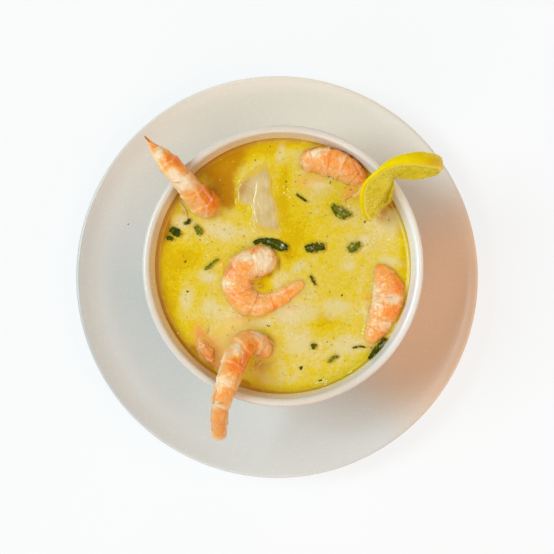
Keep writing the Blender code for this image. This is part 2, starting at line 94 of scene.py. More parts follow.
# Each shrimp: its spine of (x, y, z, half of the width), segments, flatness, roll in degrees, and the side
# of its back in degrees round it
SHRIMPS = {
    "shrimp_a": (
        [(-35.5, 35.2, 56.6, 5.6), (-38.3, 38.7, 59.6, 8.0), (-42.6, 42.8, 64.0, 7.7),
         (-46.9, 47.9, 69.4, 7.0), (-51.2, 53.1, 73.0, 6.4), (-55.4, 57.8, 74.4, 6.2),
         (-59.2, 62.1, 74.4, 5.6), (-63.5, 66.5, 73.6, 4.3), (-67.6, 71.1, 72.3, 1.8),
         (-71.2, 75.8, 71.2, 0.5)],
        6, 0.86, 0, 0,
    ),
    "shrimp_b": (
        [(13.1, 60.7, 57.0, 3.8), (15.8, 61.5, 57.6, 6.3), (19.9, 62.9, 58.4, 8.0), (24.9, 62.8, 59.4, 8.8),
         (32.1, 61.2, 60.0, 8.7), (38.0, 58.1, 60.0, 8.2), (43.2, 54.5, 59.0, 6.1), (46.7, 50.2, 57.6, 3.2),
         (44.9, 46.2, 57.0, 2.1), (41.3, 44.2, 57.0, 1.7)],
        6, 0.62, 32, 180,
    ),
    "shrimp_c": (
        [(-1.4, 8.0, 58.2, 6.0), (-6.2, 8.8, 58.8, 8.2), (-11.8, 8.4, 59.0, 8.8), (-17.3, 5.8, 58.8, 8.7),
         (-21.0, 1.0, 58.4, 8.6), (-21.6, -5.0, 57.9, 8.6), (-19.0, -10.8, 57.4, 8.5),
         (-13.9, -14.5, 56.9, 8.1), (-7.1, -15.0, 56.5, 6.8), (0.0, -12.3, 56.4, 5.6),
         (6.6, -7.9, 56.6, 4.9), (12.0, -4.4, 56.8, 3.8), (14.8, -3.0, 57.0, 2.3)],
        7, 0.6, 0, 0,
    ),
    "shrimp_d": (
        [(54.7, 6.0, 56.6, 3.8), (57.9, 1.1, 57.0, 6.6), (60.3, -5.5, 57.6, 8.9), (60.3, -12.6, 57.8, 9.1),
         (57.5, -20.6, 57.4, 8.0), (53.9, -28.4, 56.8, 7.0), (49.5, -34.6, 56.1, 4.4)],
        6, 0.68, 12, 180,
    ),
    "shrimp_e": (
        [(-43.6, -28.2, 54.6, 2.7), (-41.4, -34.5, 55.2, 4.5), (-38.1, -41.1, 55.6, 5.4),
         (-34.4, -47.0, 55.8, 3.6)],
        4, 0.72, 0, 0,
    ),
    "shrimp_f": (
        [(-6.4, -43.6, 56.6, 4.0), (-7.4, -39.2, 58.6, 5.4), (-11.9, -35.4, 61.4, 6.9),
         (-17.6, -36.4, 64.8, 7.4), (-21.5, -42.4, 68.6, 7.5), (-24.4, -50.5, 72.2, 7.1),
         (-27.3, -58.4, 74.0, 6.4), (-29.8, -67.0, 73.4, 5.6), (-31.0, -75.4, 70.2, 5.2),
         (-31.4, -82.8, 65.8, 4.8), (-31.5, -87.5, 62.0, 3.8)],
        7, 0.84, 0, 0,
    ),
}
# Patches on the shrimps: place in the picture, radius across and along it, and how pale (below 0) or deep
# (above 0) they are. Some of the palest are painted highlights
PATCHES = {
    "shrimp_a": [
        (146, 138, 5, 5, 1.3), (152, 148, 6, 5, 0.7), (159, 154, 6, 6, -1.5), (173, 161, 9, 8, 0.9),
        (191, 184, 9, 8, -1.05), (166, 163, 4, 8, 0.5), (173, 176, 8, 8, -1.3), (180, 183, 7, 6, -0.8),
        (190, 196, 6, 6, 0.25), (203, 192, 7, 7, 0.9), (212, 203, 8, 8, 1.0), (200, 204, 7, 5, -0.35),
        (206, 217, 3, 2, -1.2), (188, 208, 6, 4, 0.5),
    ],
    "shrimp_b": [
        (303, 165, 6, 8, -0.5), (316, 153, 6, 4, -1.2), (330, 158, 12, 10, 0.5), (344, 159, 4, 4, -0.9),
        (356, 166, 10, 9, 0.55), (362, 178, 8, 8, 0.35), (312, 172, 8, 6, 0.2), (352, 193, 6, 5, -0.9),
        (322, 176, 10, 4, -0.3), (310, 160, 5, 5, 0.2),
    ],
    "shrimp_c": [
        (263, 260, 12, 13, -1.3), (246, 257, 9, 5, -1.4), (255, 250, 3, 6, 1.0), (228, 269, 5, 8, 2.0),
        (226, 283, 6, 5, -2.0), (247, 267, 6, 4, 0.9), (240, 283, 10, 8, 0.1), (231, 296, 9, 8, 0.6),
        (252, 310, 10, 8, -0.3), (275, 308, 6, 4, 0.9), (292, 294, 10, 7, 0.2), (262, 305, 7, 5, -0.3),
        (270, 250, 6, 4, -0.8),
    ],
    "shrimp_d": [
        (376, 272, 8, 8, 0.8), (398, 285, 6, 8, 0.9), (395, 299, 8, 5, -1.4), (374, 292, 5, 8, -0.8),
        (375, 305, 5, 4, -1.2), (388, 312, 6, 6, 0.5), (386, 326, 7, 5, -1.1), (378, 337, 8, 7, 0.2),
        (384, 291, 5, 5, 0.4), (398, 312, 5, 7, 0.8), (371, 322, 6, 8, -0.1), (380, 310, 7, 5, 0.4),
        (384, 317, 8, 3, 0.5), (377, 333, 7, 4, 0.4),
    ],
    "shrimp_e": [(198, 345, 4, 8, -0.5), (213, 357, 7, 8, 0.6), (203, 335, 5, 8, -0.3)],
    "shrimp_f": [
        (268, 345, 5, 9, -0.3), (250, 343, 6, 7, 0.3), (258, 336, 8, 6, -0.9), (237, 350, 7, 7, -1.4),
        (250, 350, 7, 9, 0.5), (234, 366, 10, 8, 0.9), (244, 357, 7, 8, 0.6), (226, 383, 9, 6, -0.9),
        (222, 395, 9, 6, 0.25), (216, 380, 4, 6, -1.1), (217, 406, 10, 3, -1.3), (219, 420, 5, 11, 0.6),
        (240, 362, 8, 8, 0.5), (210, 420, 3, 14, -0.6), (229, 420, 3, 14, -0.6), (218, 440, 12, 4, -1.4),
    ],
}
# Where the soup runs over the shrimps, in the form of PATCHES
COVERED = {
    "shrimp_b": [(299, 171, 5, 6, 0.5), (322, 178, 16, 4, 0.5), (350, 194, 8, 6, 0.4)],
    "shrimp_c": [
        (224, 299, 7, 9, 0.5), (238, 314, 16, 6, 0.75), (264, 319, 12, 5, 0.6), (290, 308, 10, 5, 0.5),
        (276, 272, 4, 10, 0.35), (300, 288, 5, 5, 0.5), (222, 263, 4, 6, 0.4),
    ],
    "shrimp_d": [
        (374, 343, 9, 5, 0.6), (370, 268, 5, 5, 0.5), (368, 325, 4, 12, 0.4), (404, 276, 4, 10, 0.4),
    ],
    "shrimp_e": [(200, 334, 8, 8, 0.7), (212, 346, 6, 6, 0.4), (216, 364, 6, 5, 0.3)],
    "shrimp_f": [(270, 352, 4, 9, 0.4)],
}
# Painted shade on the shrimps, in the form of PATCHES
SHRIMP_PAINTED_SHADE = {
    "shrimp_f": [(219, 424, 16, 22, 0.38), (218, 400, 12, 10, 0.1)],
    "shrimp_d": [(394, 300, 12, 12, 0.15), (382, 334, 14, 10, 0.2)],
    "shrimp_e": [(202, 352, 5, 8, 0.4), (206, 340, 5, 6, 0.35)],
}
# Thin dark lines and pits on the shrimps: points in the picture, width and strength
VEINS = {
    "shrimp_f": [
        ([(217, 389), (215, 395), (213.5, 402)], 0.5, 0.75),
        ([(212.5, 407), (211.5, 418), (212, 430)], 0.45, 0.7),
        ([(213, 402.5), (218, 403.5), (223, 403)], 0.6, 0.8),
        ([(213, 431), (218, 435), (225, 435)], 0.4, 0.35),
        ([(226, 408), (224.5, 420), (225, 431)], 0.4, 0.3),
        ([(251, 352), (248, 362), (243, 372)], 0.5, 0.3), ([(240, 372), (236, 382), (234, 396)], 0.4, 0.35),
    ],
    "shrimp_a": [
        ([(144, 136), (146, 138), (148.5, 141)], 1.1, 0.85),
        ([(171, 182), (176, 182.5), (181, 182)], 0.45, 0.7),
        ([(152, 142), (161, 148), (170, 158)], 0.4, 0.4), ([(184, 170), (190, 176), (197, 181)], 0.4, 0.4),
    ],
    "shrimp_b": [
        ([(342, 150), (345, 153), (347, 154)], 1.0, 0.95), ([(302, 166), (302.5, 168)], 0.8, 0.8),
        ([(338, 148), (350, 154), (362, 163), (371, 171)], 0.9, 0.85), ([(346, 163), (345, 166)], 0.6, 0.7),
        ([(300, 161), (304, 159)], 0.5, 0.5), ([(333, 158), (334, 160)], 0.4, 0.5),
    ],
    "shrimp_c": [
        ([(254.5, 246), (255, 251), (256, 255)], 0.7, 0.35),
        ([(232, 266), (229, 273), (231, 278)], 0.4, 0.3), ([(256, 288), (262, 291), (268, 293)], 0.5, 0.5),
        ([(240, 301), (250, 304), (258, 300)], 0.4, 0.25),
    ],
    "shrimp_d": [
        ([(375, 296), (382, 297.5), (392, 297)], 0.6, 0.55),
        ([(378, 320), (384, 321), (392, 318)], 0.5, 0.5), ([(384, 300), (383, 306)], 0.4, 0.4),
        ([(372, 282), (380, 280)], 0.4, 0.3),
    ],
    "shrimp_e": [
        ([(193, 330), (195, 340), (200, 352), (208, 362), (214, 366)], 0.8, 0.6),
        ([(203, 340), (206, 347), (211, 352)], 0.6, 0.5), ([(206, 355), (209, 358)], 0.7, 0.6),
        ([(213, 352), (216, 357)], 0.6, 0.5),
    ],
}
# Painted highlights and pale folds on the shrimps, in the form of VEINS
GLINTS = {
    "shrimp_f": [
        ([(251, 332), (258, 333), (262, 338), (261, 347), (257, 356)], 1.3, 0.6),
        ([(226, 352), (220, 366), (216, 378)], 1.5, 0.7),
        ([(236, 345), (241, 347), (243, 355), (242, 362)], 1.0, 0.5),
        ([(214, 372), (210, 384), (208, 396)], 1.5, 0.7), ([(208, 404), (206, 418), (207, 432)], 1.2, 0.6),
        ([(230, 404), (229, 418), (227, 430)], 1.2, 0.6), ([(232, 372), (222, 377), (215, 382)], 0.8, 0.5),
        ([(265, 334), (268, 342), (266, 352)], 0.8, 0.4),
    ],
    "shrimp_a": [
        ([(146, 141), (150, 150), (157, 160), (163, 170)], 0.9, 0.5),
        ([(198, 183), (206, 192), (212, 200)], 1.0, 0.6),
        ([(196, 190), (200, 199), (207, 207), (206, 216)], 0.9, 0.55),
        ([(176, 190), (184, 201), (193, 212)], 1.2, 0.6), ([(148, 143), (156, 146), (163, 151)], 0.6, 0.4),
    ],
    "shrimp_b": [
        ([(355, 163), (359, 169), (362, 175)], 0.8, 0.6), ([(350, 160), (354, 168), (356, 177)], 0.7, 0.4),
        ([(312, 152), (320, 149), (328, 150)], 1.2, 0.7), ([(340, 156), (341, 166), (340, 174)], 1.2, 0.5),
        ([(322, 160), (324, 168), (322, 174)], 0.8, 0.4),
    ],
    "shrimp_c": [
        ([(222, 282), (225, 290), (232, 297)], 1.0, 0.5), ([(244, 252), (238, 258), (234, 264)], 1.4, 0.6),
        ([(230, 288), (237, 295), (243, 298)], 0.7, 0.5), ([(228, 293), (236, 300), (244, 303)], 0.7, 0.45),
        ([(270, 296), (280, 293), (292, 286)], 0.8, 0.5), ([(246, 306), (253, 308), (260, 306)], 0.8, 0.5),
    ],
    "shrimp_d": [
        ([(373, 284), (375, 291), (374, 299)], 1.1, 0.6), ([(388, 296), (394, 294), (400, 297)], 1.3, 0.5),
        ([(378, 345), (381, 341), (385, 337)], 0.7, 0.7), ([(371, 303), (376, 303), (381, 306)], 1.0, 0.6),
        ([(380, 324), (388, 323), (394, 325)], 1.3, 0.6),
    ],
    "shrimp_e": [
        ([(197, 342), (197, 349), (200, 355)], 0.9, 0.7), ([(206, 358), (211, 361), (214, 359)], 0.7, 0.5),
    ],
}
# Thin yellow rims on the shrimps, in the form of VEINS
GOLD = {
    "shrimp_a": [
        ([(146, 139), (151, 150), (158, 163), (166, 176)], 0.7, 0.45),
        ([(186, 203), (193, 212), (200, 217)], 0.8, 0.5),
    ],
    "shrimp_c": [
        (
            [(253, 247), (257, 244), (262, 243), (268, 245), (272, 249), (275, 257), (276, 264), (273, 270)],
            1.1, 0.8,
        ),
        ([(262, 262), (266, 266), (270, 264)], 0.8, 0.35), ([(221, 266), (224, 259), (229, 258)], 1.6, 0.7),
    ],
    "shrimp_b": [
        ([(308, 149), (318, 145), (332, 144), (344, 148)], 0.8, 0.6),
        ([(350, 190), (353, 196), (358, 198)], 0.8, 0.4),
    ],
    "shrimp_d": [
        ([(400, 268), (405, 280), (404, 292)], 0.8, 0.4), ([(368, 300), (367, 315), (366, 330)], 0.9, 0.5),
    ],
    "shrimp_f": [
        ([(234, 342), (240, 337), (246, 331)], 0.9, 0.5), ([(262, 328), (270, 337), (271, 350)], 0.8, 0.4),
    ],
}
# Thin legs and feelers: their line in the picture, heights above the soup's top and half of the width
STRANDS = [
    ([(247, 277), (254, 279), (262, 277)], (1.9, 1.5, 0.5), 0.34),
    ([(247, 283), (255, 286), (262, 285)], (1.9, 1.3, 0.4), 0.4),
    ([(248, 289), (256, 293), (263, 292)], (1.8, 1.2, 0.4), 0.34),
    ([(250, 296), (257, 299), (265, 297)], (1.7, 1.1, 0.4), 0.4),
    ([(262, 300), (268, 297), (272, 291)], (1.4, 1.1, 0.4), 0.3),
    ([(252, 250), (258, 246), (262, 242)], (2.6, 2.2, 1.4), 0.3),
    ([(304, 151), (316, 146), (330, 144), (342, 148)], (0.5, 0.9, 1.3, 1.6), 0.3),
    ([(310, 152), (322, 148), (333, 147)], (0.7, 1.2, 1.5), 0.24),
    ([(350, 196), (345, 200), (346, 205)], (0.8, 0.5, 0.3), 0.34),
    ([(187, 174), (193, 179), (199, 185)], (5.4, 4.2, 3.2), 0.4),
    ([(192, 176), (198, 182), (202, 189)], (4.4, 3.4, 2.4), 0.34),
    ([(268, 338), (273, 345), (271, 354)], (1.9, 1.2, 0.4), 0.4),
    ([(262, 361), (257, 366), (252, 368)], (1.0, 0.8, 0.5), 0.34),
    ([(371, 296), (367, 299), (364, 297)], (0.8, 0.5, 0.3), 0.34),
    ([(370, 306), (366, 309), (364, 313)], (0.8, 0.5, 0.3), 0.34),
    ([(204, 334), (208, 330), (207, 325)], (0.6, 0.5, 0.3), 0.34),
    ([(181, 203), (184, 208), (187, 215), (187, 222)], (0.3, 0.4, 0.4, 0.25), 0.36),
]
# How far a segment's shell steps in, as a share of the width
SHELL_STEP = 0.08
# How far apart the rings of a shrimp are, and how many points they and those of a strand have
RING_STEP = 0.42
SIDES, STRAND_SIDES = 108, 10

LEMON_APEX = np.array((62.9, 52.9, 72.7))
LEMON_RADIUS = 26.5
# The rays of its face from the middle to the rind: azimuth and elevation in degrees, and share of the radius
LEMON_RAYS = (
    (6, -20, 1), (10, 14, 1), (16, 46, 1), (31, 65, 1), (106, 79, 1), (180, 66, 1),
    (201, 47, 1), (223, 28, 1), (238, 2, 1), (245, -25, 1), (248, -34, 0.78), (256, -24, 0.5),
)
LEMON_THICK_OUTSIDE, LEMON_THICK_INSIDE = 8.0, 2.6
LEMON_SEGMENTS = 9
# Where the rind begins, as a share of the radius
LEMON_RIND = 0.955
# In the form of PATCHES: a painted shine, where the soup has wetted it and painted glints sparkle, and the
# painted shade under its free end
LEMON_PALE = [(389, 184, 10, 8, 0.7)]
LEMON_WETTED = [(372, 207, 9, 9, 1.0), (386, 203, 9, 6, 1.0), (367, 199, 5, 8, 0.5)]
LEMON_UNDER = [(390, 195, 4, 7, 1.0), (386, 203, 5, 4, 1.0)]
# The riper side begins between these places across and along the picture
LEMON_RIPE_ACROSS, LEMON_RIPE_ALONG = (422, 437), (156, 160)

MUSHROOM_OUTLINE = (
    (-6.0, 63.8), (-2.7, 55.0), (-2.8, 47.0), (0.0, 41.0), (1.6, 30.6), (2.0, 23.6), (-5.0, 22.8),
    (-11.4, 25.2), (-14.2, 29.0), (-13.6, 35.0), (-15.4, 38.8), (-21.4, 39.8), (-22.0, 47.6), (-19.6, 53.2),
    (-15.8, 57.8), (-10.9, 60.8),
)
MUSHROOM_TOP, MUSHROOM_THICKNESS = 58.2, 3.6
# Painted highlights on it, on lines raised a little, in the form of VEINS
MUSHROOM_GLEAMS = (
    ([(257, 183), (256.5, 192), (254.5, 199), (254, 208), (257, 222)], 0.7, 1.0),
    ([(257, 199), (260, 206), (262, 214)], 0.5, 0.6), ([(240, 180), (238, 188), (239, 198)], 0.7, 0.7),
    ([(252, 205), (253, 216), (256, 232)], 0.8, 0.5),
)
# In the form of PATCHES: its brown places, and where a film of soup lies on it
MUSHROOM_TAN = [(241, 189, 6, 9, 0.85), (247, 183, 5, 5, 0.35)]
MUSHROOM_FILM = [
    (256, 222, 7, 9, 0.35), (251, 170, 9, 7, 0.6), (242, 178, 5, 5, 0.3), (259, 206, 4, 6, 0.25),
    (240, 204, 4, 4, 0.4),
]

# Cut herbs: spine of (x, y, half of the width), and how far the leaf folds up across
HERBS = {
    "herb_long": (
        [(-13.0, 18.4, 0.9), (-8.7, 19.9, 1.6), (-3.6, 18.9, 2.3), (1.4, 16.8, 3.1), (6.2, 16.1, 1.5)], 0.5,
    ),
    "herb_square": ([(15.0, 15.3, 2.0), (20.8, 16.1, 2.9), (26.8, 16.9, 2.2)], 0.3),
    "herb_right": ([(38.5, 14.7, 1.7), (42.0, 16.4, 3.0), (46.0, 18.3, 1.4)], 0.3),
    "herb_upper": ([(30.0, 39.4, 1.4), (33.4, 36.0, 3.2), (37.2, 34.1, 2.7), (40.6, 35.0, 1.0)], 0.35),
    "herb_left": ([(-59.0, 26.3, 1.4), (-56.2, 25.1, 2.4), (-52.8, 22.6, 1.6)], 0.3),
    "herb_left_low": ([(-60.8, 20.8, 0.8), (-58.5, 21.3, 1.3), (-56.0, 20.2, 0.8)], 0.2),
    "herb_left_curl": ([(-51.0, 29.0, 0.7), (-48.6, 29.8, 1.1), (-47.4, 32.0, 0.8)], 0.2),
    "herb_pale": ([(-45.0, 28.4, 1.5), (-42.9, 25.7, 2.0), (-42.0, 22.7, 1.3)], 0.2),
    "herb_stem_left": ([(-39.9, 4.1, 0.8), (-37.1, 5.7, 1.1), (-34.4, 8.2, 0.9), (-31.7, 10.1, 0.5)], 0.2),
    "herb_thread": ([(10.4, 45.3, 0.6), (13.1, 43.4, 0.8), (16.4, 41.0, 0.6)], 0.15),
    "herb_tick": ([(18.0, 1.1, 0.7), (19.4, -1.6, 0.8), (21.3, -4.9, 0.7)], 0.15),
    "herb_low": ([(27.8, -47.0, 0.7), (30.6, -44.2, 1.1), (33.9, -43.1, 0.7)], 0.15),
    "herb_round": ([(18.3, -37.7, 1.2), (20.2, -37.7, 1.9), (21.8, -37.7, 1.2)], 0.15),
    "herb_strand": ([(41.2, -38.8, 0.5), (45.2, -37.9, 0.7), (48.4, -38.4, 0.5)], 0.15),
    "herb_wall": ([(49.7, -44.8, 0.9), (54.7, -38.9, 1.6), (59.1, -33.1, 1.0)], 0.2),
}
SOFT_HERBS = ("herb_pale", "herb_stem_left", "herb_low", "herb_right", "herb_upper")
THIN_HERBS = ("herb_thread", "herb_tick", "herb_strand", "herb_round", "herb_square")
# How far leaves lie above the soup's top, the one on the wall and the others, and how thick they are
HERB_WALL_RISE, HERB_RISE, HERB_THICK = 2.1, 0.3, 0.28
# The rows of a leaf's points are this far apart, its waves this deep, and it has so many points across
HERB_STEP, HERB_WAVE, HERB_COLUMNS = 0.28, 0.28, 15
# Painted highlights on the herbs, in the form of VEINS
LEAF_GLINTS = {
    "herb_long": [
        ([(281.8, 244.6), (283, 246)], 0.8, 1.0), ([(280.5, 247.5), (281.5, 248.5)], 0.5, 0.6),
        ([(268, 241), (269.5, 241.6)], 0.8, 0.35),
    ],
    "herb_square": [([(311, 247), (313, 249)], 0.5, 0.4), ([(319, 244), (321, 245)], 0.5, 0.4)],
    "herb_wall": [([(380, 347), (386, 341)], 0.5, 0.5)],
    "herb_right": [([(351, 247), (354, 245)], 0.5, 0.35)],
    "herb_upper": [([(338, 208), (341, 210)], 0.6, 0.4), ([(343, 213), (345, 214)], 0.5, 0.4)],
}

# Flakes on the soup: x, y, size and turn in degrees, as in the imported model
FLAKES = (
    (13.0, -49.0, 1.5, 20), (-50.0, 8.6, 0.8, 60), (-49.0, -8.0, 0.9, 10), (4.8, 52.0, 0.8, 35),
    (29.5, 51.2, 0.9, 80), (24.0, -56.6, 1.2, 5), (-4.6, -27.0, 0.8, 50), (35.6, -10.0, 0.9, 15),
    (48.0, 30.0, 0.8, 70),
)
# The dark speck on the plate: place in the picture, height and size
SPECK = (128, 224, 14, 0.45)

# Clouds of cream in the soup, in the form of PATCHES
CREAM = (
    (385, 220, 22, 22, 0.8), (345, 215, 14, 10, 0.5), (300, 290, 20, 12, 0.4), (292, 314, 16, 10, 0.9),
    (365, 240, 14, 8, 0.3), (330, 345, 40, 22, 0.4), (283, 158, 9, 10, 0.5), (225, 228, 26, 14, 0.5),
    (210, 278, 12, 10, 0.6), (215, 310, 24, 16, 0.4), (320, 185, 18, 14, 0.4), (345, 270, 24, 26, 0.12),
    (185, 222, 14, 12, 0.5), (385, 352, 12, 12, 0.7), (230, 320, 14, 10, 0.4), (300, 380, 26, 12, 0.3),
    (300, 262, 12, 10, 0.4), (277, 281, 8, 7, 0.6), (270, 380, 14, 14, 0.3), (350, 372, 16, 10, 0.3),
    (338, 306, 24, 12, 0.6), (298, 335, 14, 14, 0.5), (190, 242, 9, 7, 0.5), (206, 256, 9, 8, 0.5),
    (190, 290, 7, 10, 0.5), (232, 328, 13, 12, 0.7), (290, 172, 6, 8, 0.6), (318, 205, 10, 8, 0.5),
    (350, 246, 10, 8, 0.4), (370, 318, 10, 10, 0.4),
)
# Clear yellow oil in it, in the form of PATCHES
OIL = (
    (296, 235, 14, 26, 1.0), (283, 200, 6, 30, 0.9), (190, 257, 18, 14, 1.0), (327, 318, 16, 18, 1.0),
    (262, 286, 7, 10, 0.8), (288, 255, 8, 7, 0.8), (178, 268, 12, 12, 0.6), (288, 141, 18, 6, 0.9),
    (245, 150, 26, 10, 0.8), (345, 190, 22, 12, 0.35), (170, 300, 10, 24, 0.8), (270, 150, 12, 8, 0.6),
    (325, 210, 14, 12, 0.5), (240, 205, 12, 8, 0.5), (375, 375, 30, 12, 0.8), (310, 396, 34, 8, 0.8),
    (398, 215, 6, 20, 0.6), (295, 347, 18, 10, 0.35), (200, 300, 16, 20, 0.25), (266, 278, 7, 6, 0.6),
    (350, 300, 12, 20, 0.25), (225, 325, 14, 10, 0.4), (404, 262, 5, 16, 0.8), (288, 175, 7, 14, 0.6),
)
# Where the soup lies in the shade of what pokes out of it, in the form of PATCHES
SHADE = (
    (222, 172, 15, 17, 1.1), (236, 158, 16, 10, 0.7), (212, 195, 8, 10, 0.5), (229, 190, 9, 9, 0.6),
    (186, 212, 6, 5, 0.6), (168, 232, 6, 16, 0.5), (392, 203, 6, 5, 1.1), (383, 212, 5, 5, 0.6),
    (260, 367, 9, 8, 0.45), (244, 384, 7, 6, 0.5), (193, 356, 4, 10, 0.6), (228, 203, 9, 9, 0.8),
    (296, 178, 3, 10, 0.2), (360, 150, 14, 4, 0.6), (279, 264, 2.5, 8, 0.8), (261, 284, 5, 8, 0.7),
    (270, 275, 4, 4, 0.7), (273, 360, 8, 12, 0.3), (276, 378, 14, 12, 0.25), (288, 256, 5, 5, 0.5),
    (204, 366, 8, 3, 0.9), (195, 352, 3, 8, 0.6), (286, 170, 4, 10, 0.4), (277, 205, 4, 14, 0.35),
    (322, 182, 20, 3, 0.3),
)
# Where the soup laps up over a shrimp: place, radius across and along, and height in millimetres
SWELL = (
    (232, 312, 8, 5, 0.7), (250, 320, 16, 4, 0.9), (274, 316, 10, 4, 0.9), (292, 309, 9, 4, 0.8),
    (303, 298, 5, 5, 0.6), (366, 308, 3, 10, 0.6), (366, 330, 4, 8, 0.6), (376, 346, 9, 4, 0.6),
    (300, 176, 6, 5, 0.5), (322, 183, 14, 3, 0.6), (346, 189, 8, 4, 0.5), (222, 268, 3, 6, 0.5),
)
# Where a shrimp shows through the soup, in the form of PATCHES
BLUSH = (
    (198, 328, 5, 6, 0.6), (200, 336, 6, 7, 0.9), (196, 347, 4, 8, 0.8), (211, 343, 6, 6, 0.9),
    (217, 354, 6, 7, 1.0), (216, 365, 7, 5, 0.95), (207, 364, 6, 4, 0.8), (200, 357, 4, 6, 0.7),
    (303, 182, 8, 5, 0.35), (314, 180, 9, 4, 0.35), (351, 192, 6, 6, 0.8), (345, 197, 4, 3, 0.4),
    (246, 318, 16, 4, 0.45), (290, 309, 10, 4, 0.3), (222, 264, 4, 5, 0.4), (372, 345, 6, 4, 0.5),
    (369, 330, 4, 10, 0.3), (366, 296, 3, 8, 0.3), (270, 345, 4, 10, 0.35),
)
# Painted warm light beside what stands tall in it, where that shades it from the warm lamps, in the form of
# PATCHES
SOUP_PAINTED_LIGHT = ((229, 334, 13, 12, 0.7), (221, 350, 7, 12, 0.75), (240, 327, 12, 6, 0.7), (312, 184, 14, 4, 0.2))
# Pale pieces just under the surface: place in the picture, half sizes and turn in degrees
SUNKEN = (
    (390, 262, 10, 5, 5), (393, 222, 7, 14, 10), (286, 314, 15, 8, 10), (384, 351, 5, 5, 0),
    (207, 276, 6, 5, 30), (281, 153, 4, 8, 10), (180, 222, 7, 6, 10), (299, 267, 8, 4, 140),
    (362, 240, 6, 4, 15), (300, 345, 14, 9, 0), (225, 232, 14, 7, 10), (335, 308, 12, 9, 0),
    (350, 265, 6, 4, 20), (345, 345, 14, 8, 0), (262, 323, 12, 4, 0), (306, 312, 12, 8, 0),
    (320, 186, 9, 5, 10), (210, 306, 9, 7, 30), (186, 300, 6, 10, 0),
)
# A pale strand just under the surface: its line in the picture
SUNKEN_STRAND = [(180, 203), (183, 208), (186, 214), (187, 222)]
# The larger dark crumbs that show: place in the picture and size
PEPPER = (
    (299.4, 175.4, 0.5), (295.5, 181.8, 0.35), (329, 176.5, 0.4), (333.6, 178.6, 0.5), (340, 180.5, 0.4),
    (347, 184.5, 0.45), (255.2, 160.4, 0.5), (293, 206, 0.45), (311, 213, 0.35), (244, 236, 0.4),
    (327, 236.5, 0.4), (271.4, 290.3, 0.4), (287, 251.5, 0.5), (289.5, 253, 0.4), (286, 255, 0.3),
    (291.5, 256.5, 0.3), (284, 254, 0.35), (368, 346.8, 0.6), (371, 347.6, 0.6), (374, 348.6, 0.6),
    (290, 263, 0.35), (288.6, 307, 0.4), (179, 232, 0.35), (243, 247, 0.35), (200, 240, 0.4),
    (330, 292, 0.4),
)
# How many random crumbs and drops of oil lie on the soup
CRUMBS, OIL_DROPS = 300, 420
# How far crumbs, drops and bubbles stay clear of what floats in the soup, and how far from its edge
CRUMB_CLEAR, OIL_CLEAR, BUBBLE_CLEAR = 1.0, 1.3, 0.9
CRUMB_EDGE, BUBBLE_EDGE = 1.0, 0.8
# Groups of bubbles: place in the picture, spread and number
BUBBLES = (
    (325, 382, 5, 26), (345, 374, 8, 20), (300, 305, 10, 10), (215, 250, 18, 14), (350, 200, 14, 16),
    (286, 190, 8, 12), (250, 395, 16, 12), (355, 330, 14, 14), (190, 330, 10, 8), (395, 240, 6, 10),
)
# The size of a noise on a place that is stretched already, so that it isn't scaled again
OWN_SIZE = 1000


def seen(u, v, z=SOUP_TOP):
    """The place (x, y) at height z that the camera sees at (u, v) of its picture."""
    reach = (CAMERA_HEIGHT - z) / FOCAL_PIXELS
    return (u - PICTURE / 2) * reach, (PICTURE / 2 - v) * reach


def in_picture(points):
    """Where the camera sees points, as two arrays."""
    reach = FOCAL_PIXELS / (CAMERA_HEIGHT - points[:, 2])
    return PICTURE / 2 + points[:, 0] * reach, PICTURE / 2 - points[:, 1] * reach


def lattice(x, y, z, seed):
    """A fixed number from -1 to 1 for each whole place."""
    mixed = (x * 374761393 + y * 668265263 + z * 1440662683 + seed * 982451653) & 0xFFFFFFFF
    mixed = ((mixed ^ (mixed >> 13)) * 1274126177) & 0xFFFFFFFF
    return ((mixed ^ (mixed >> 16)) & 0xFFFF) / 32767.5 - 1.0


def noise(points, size, seed=1):
    """Smooth noise from -1 to 1 at points, with lumps of about that size."""
    place = np.asarray(points, float) / size
    cell = np.floor(place).astype(np.int64)
    part = place - cell
    part = part * part * (3 - 2 * part)
    total = np.zeros(len(place))
    for corner in range(8):
        step = [(corner >> k) & 1 for k in range(3)]
        weight = np.ones(len(place))
        for k in range(3):
            weight = weight * (part[:, k] if step[k] else 1 - part[:, k])
        total += weight * lattice(*(cell[:, k] + step[k] for k in range(3)), seed)
    return total


def rough(points, size, seed=1, octaves=3):
    """Noise with finer noise on it."""
    total = 0.0
    for k in range(octaves):
        total = total + noise(points, size / 2**k, seed + k) / 2**k
    return total


def smooth_step(low, high, value):
    t = np.clip((value - low) / (high - low), 0, 1)
    return t * t * (3 - 2 * t)


def bell(distance, width, power=2):
    """1 at no distance, falling off softly over about that width."""
    return np.exp(-((distance / width) ** power))


def curve_through(rows, per_span):
    """A Catmull-Rom curve through rows of numbers, with per_span steps between two of them."""
    rows = np.asarray(rows, float)
    rows = np.vstack([2 * rows[0] - rows[1], rows, 2 * rows[-1] - rows[-2]])
    t = np.arange(per_span) / per_span
    weights = np.stack([
        -0.5 * t + t**2 - 0.5 * t**3,
        1 - 2.5 * t**2 + 1.5 * t**3,
        0.5 * t + 2 * t**2 - 1.5 * t**3,
        -0.5 * t**2 + 0.5 * t**3,
    ], 1)
    spans = [weights @ rows[i - 1 : i + 3] for i in range(1, len(rows) - 2)]
    return np.vstack(spans + [rows[-2:-1]])


def lengths_of(curve, size):
    steps = np.linalg.norm(np.diff(curve[:, :size], axis=0), axis=1)
    return np.concatenate([[0.0], np.cumsum(steps)])


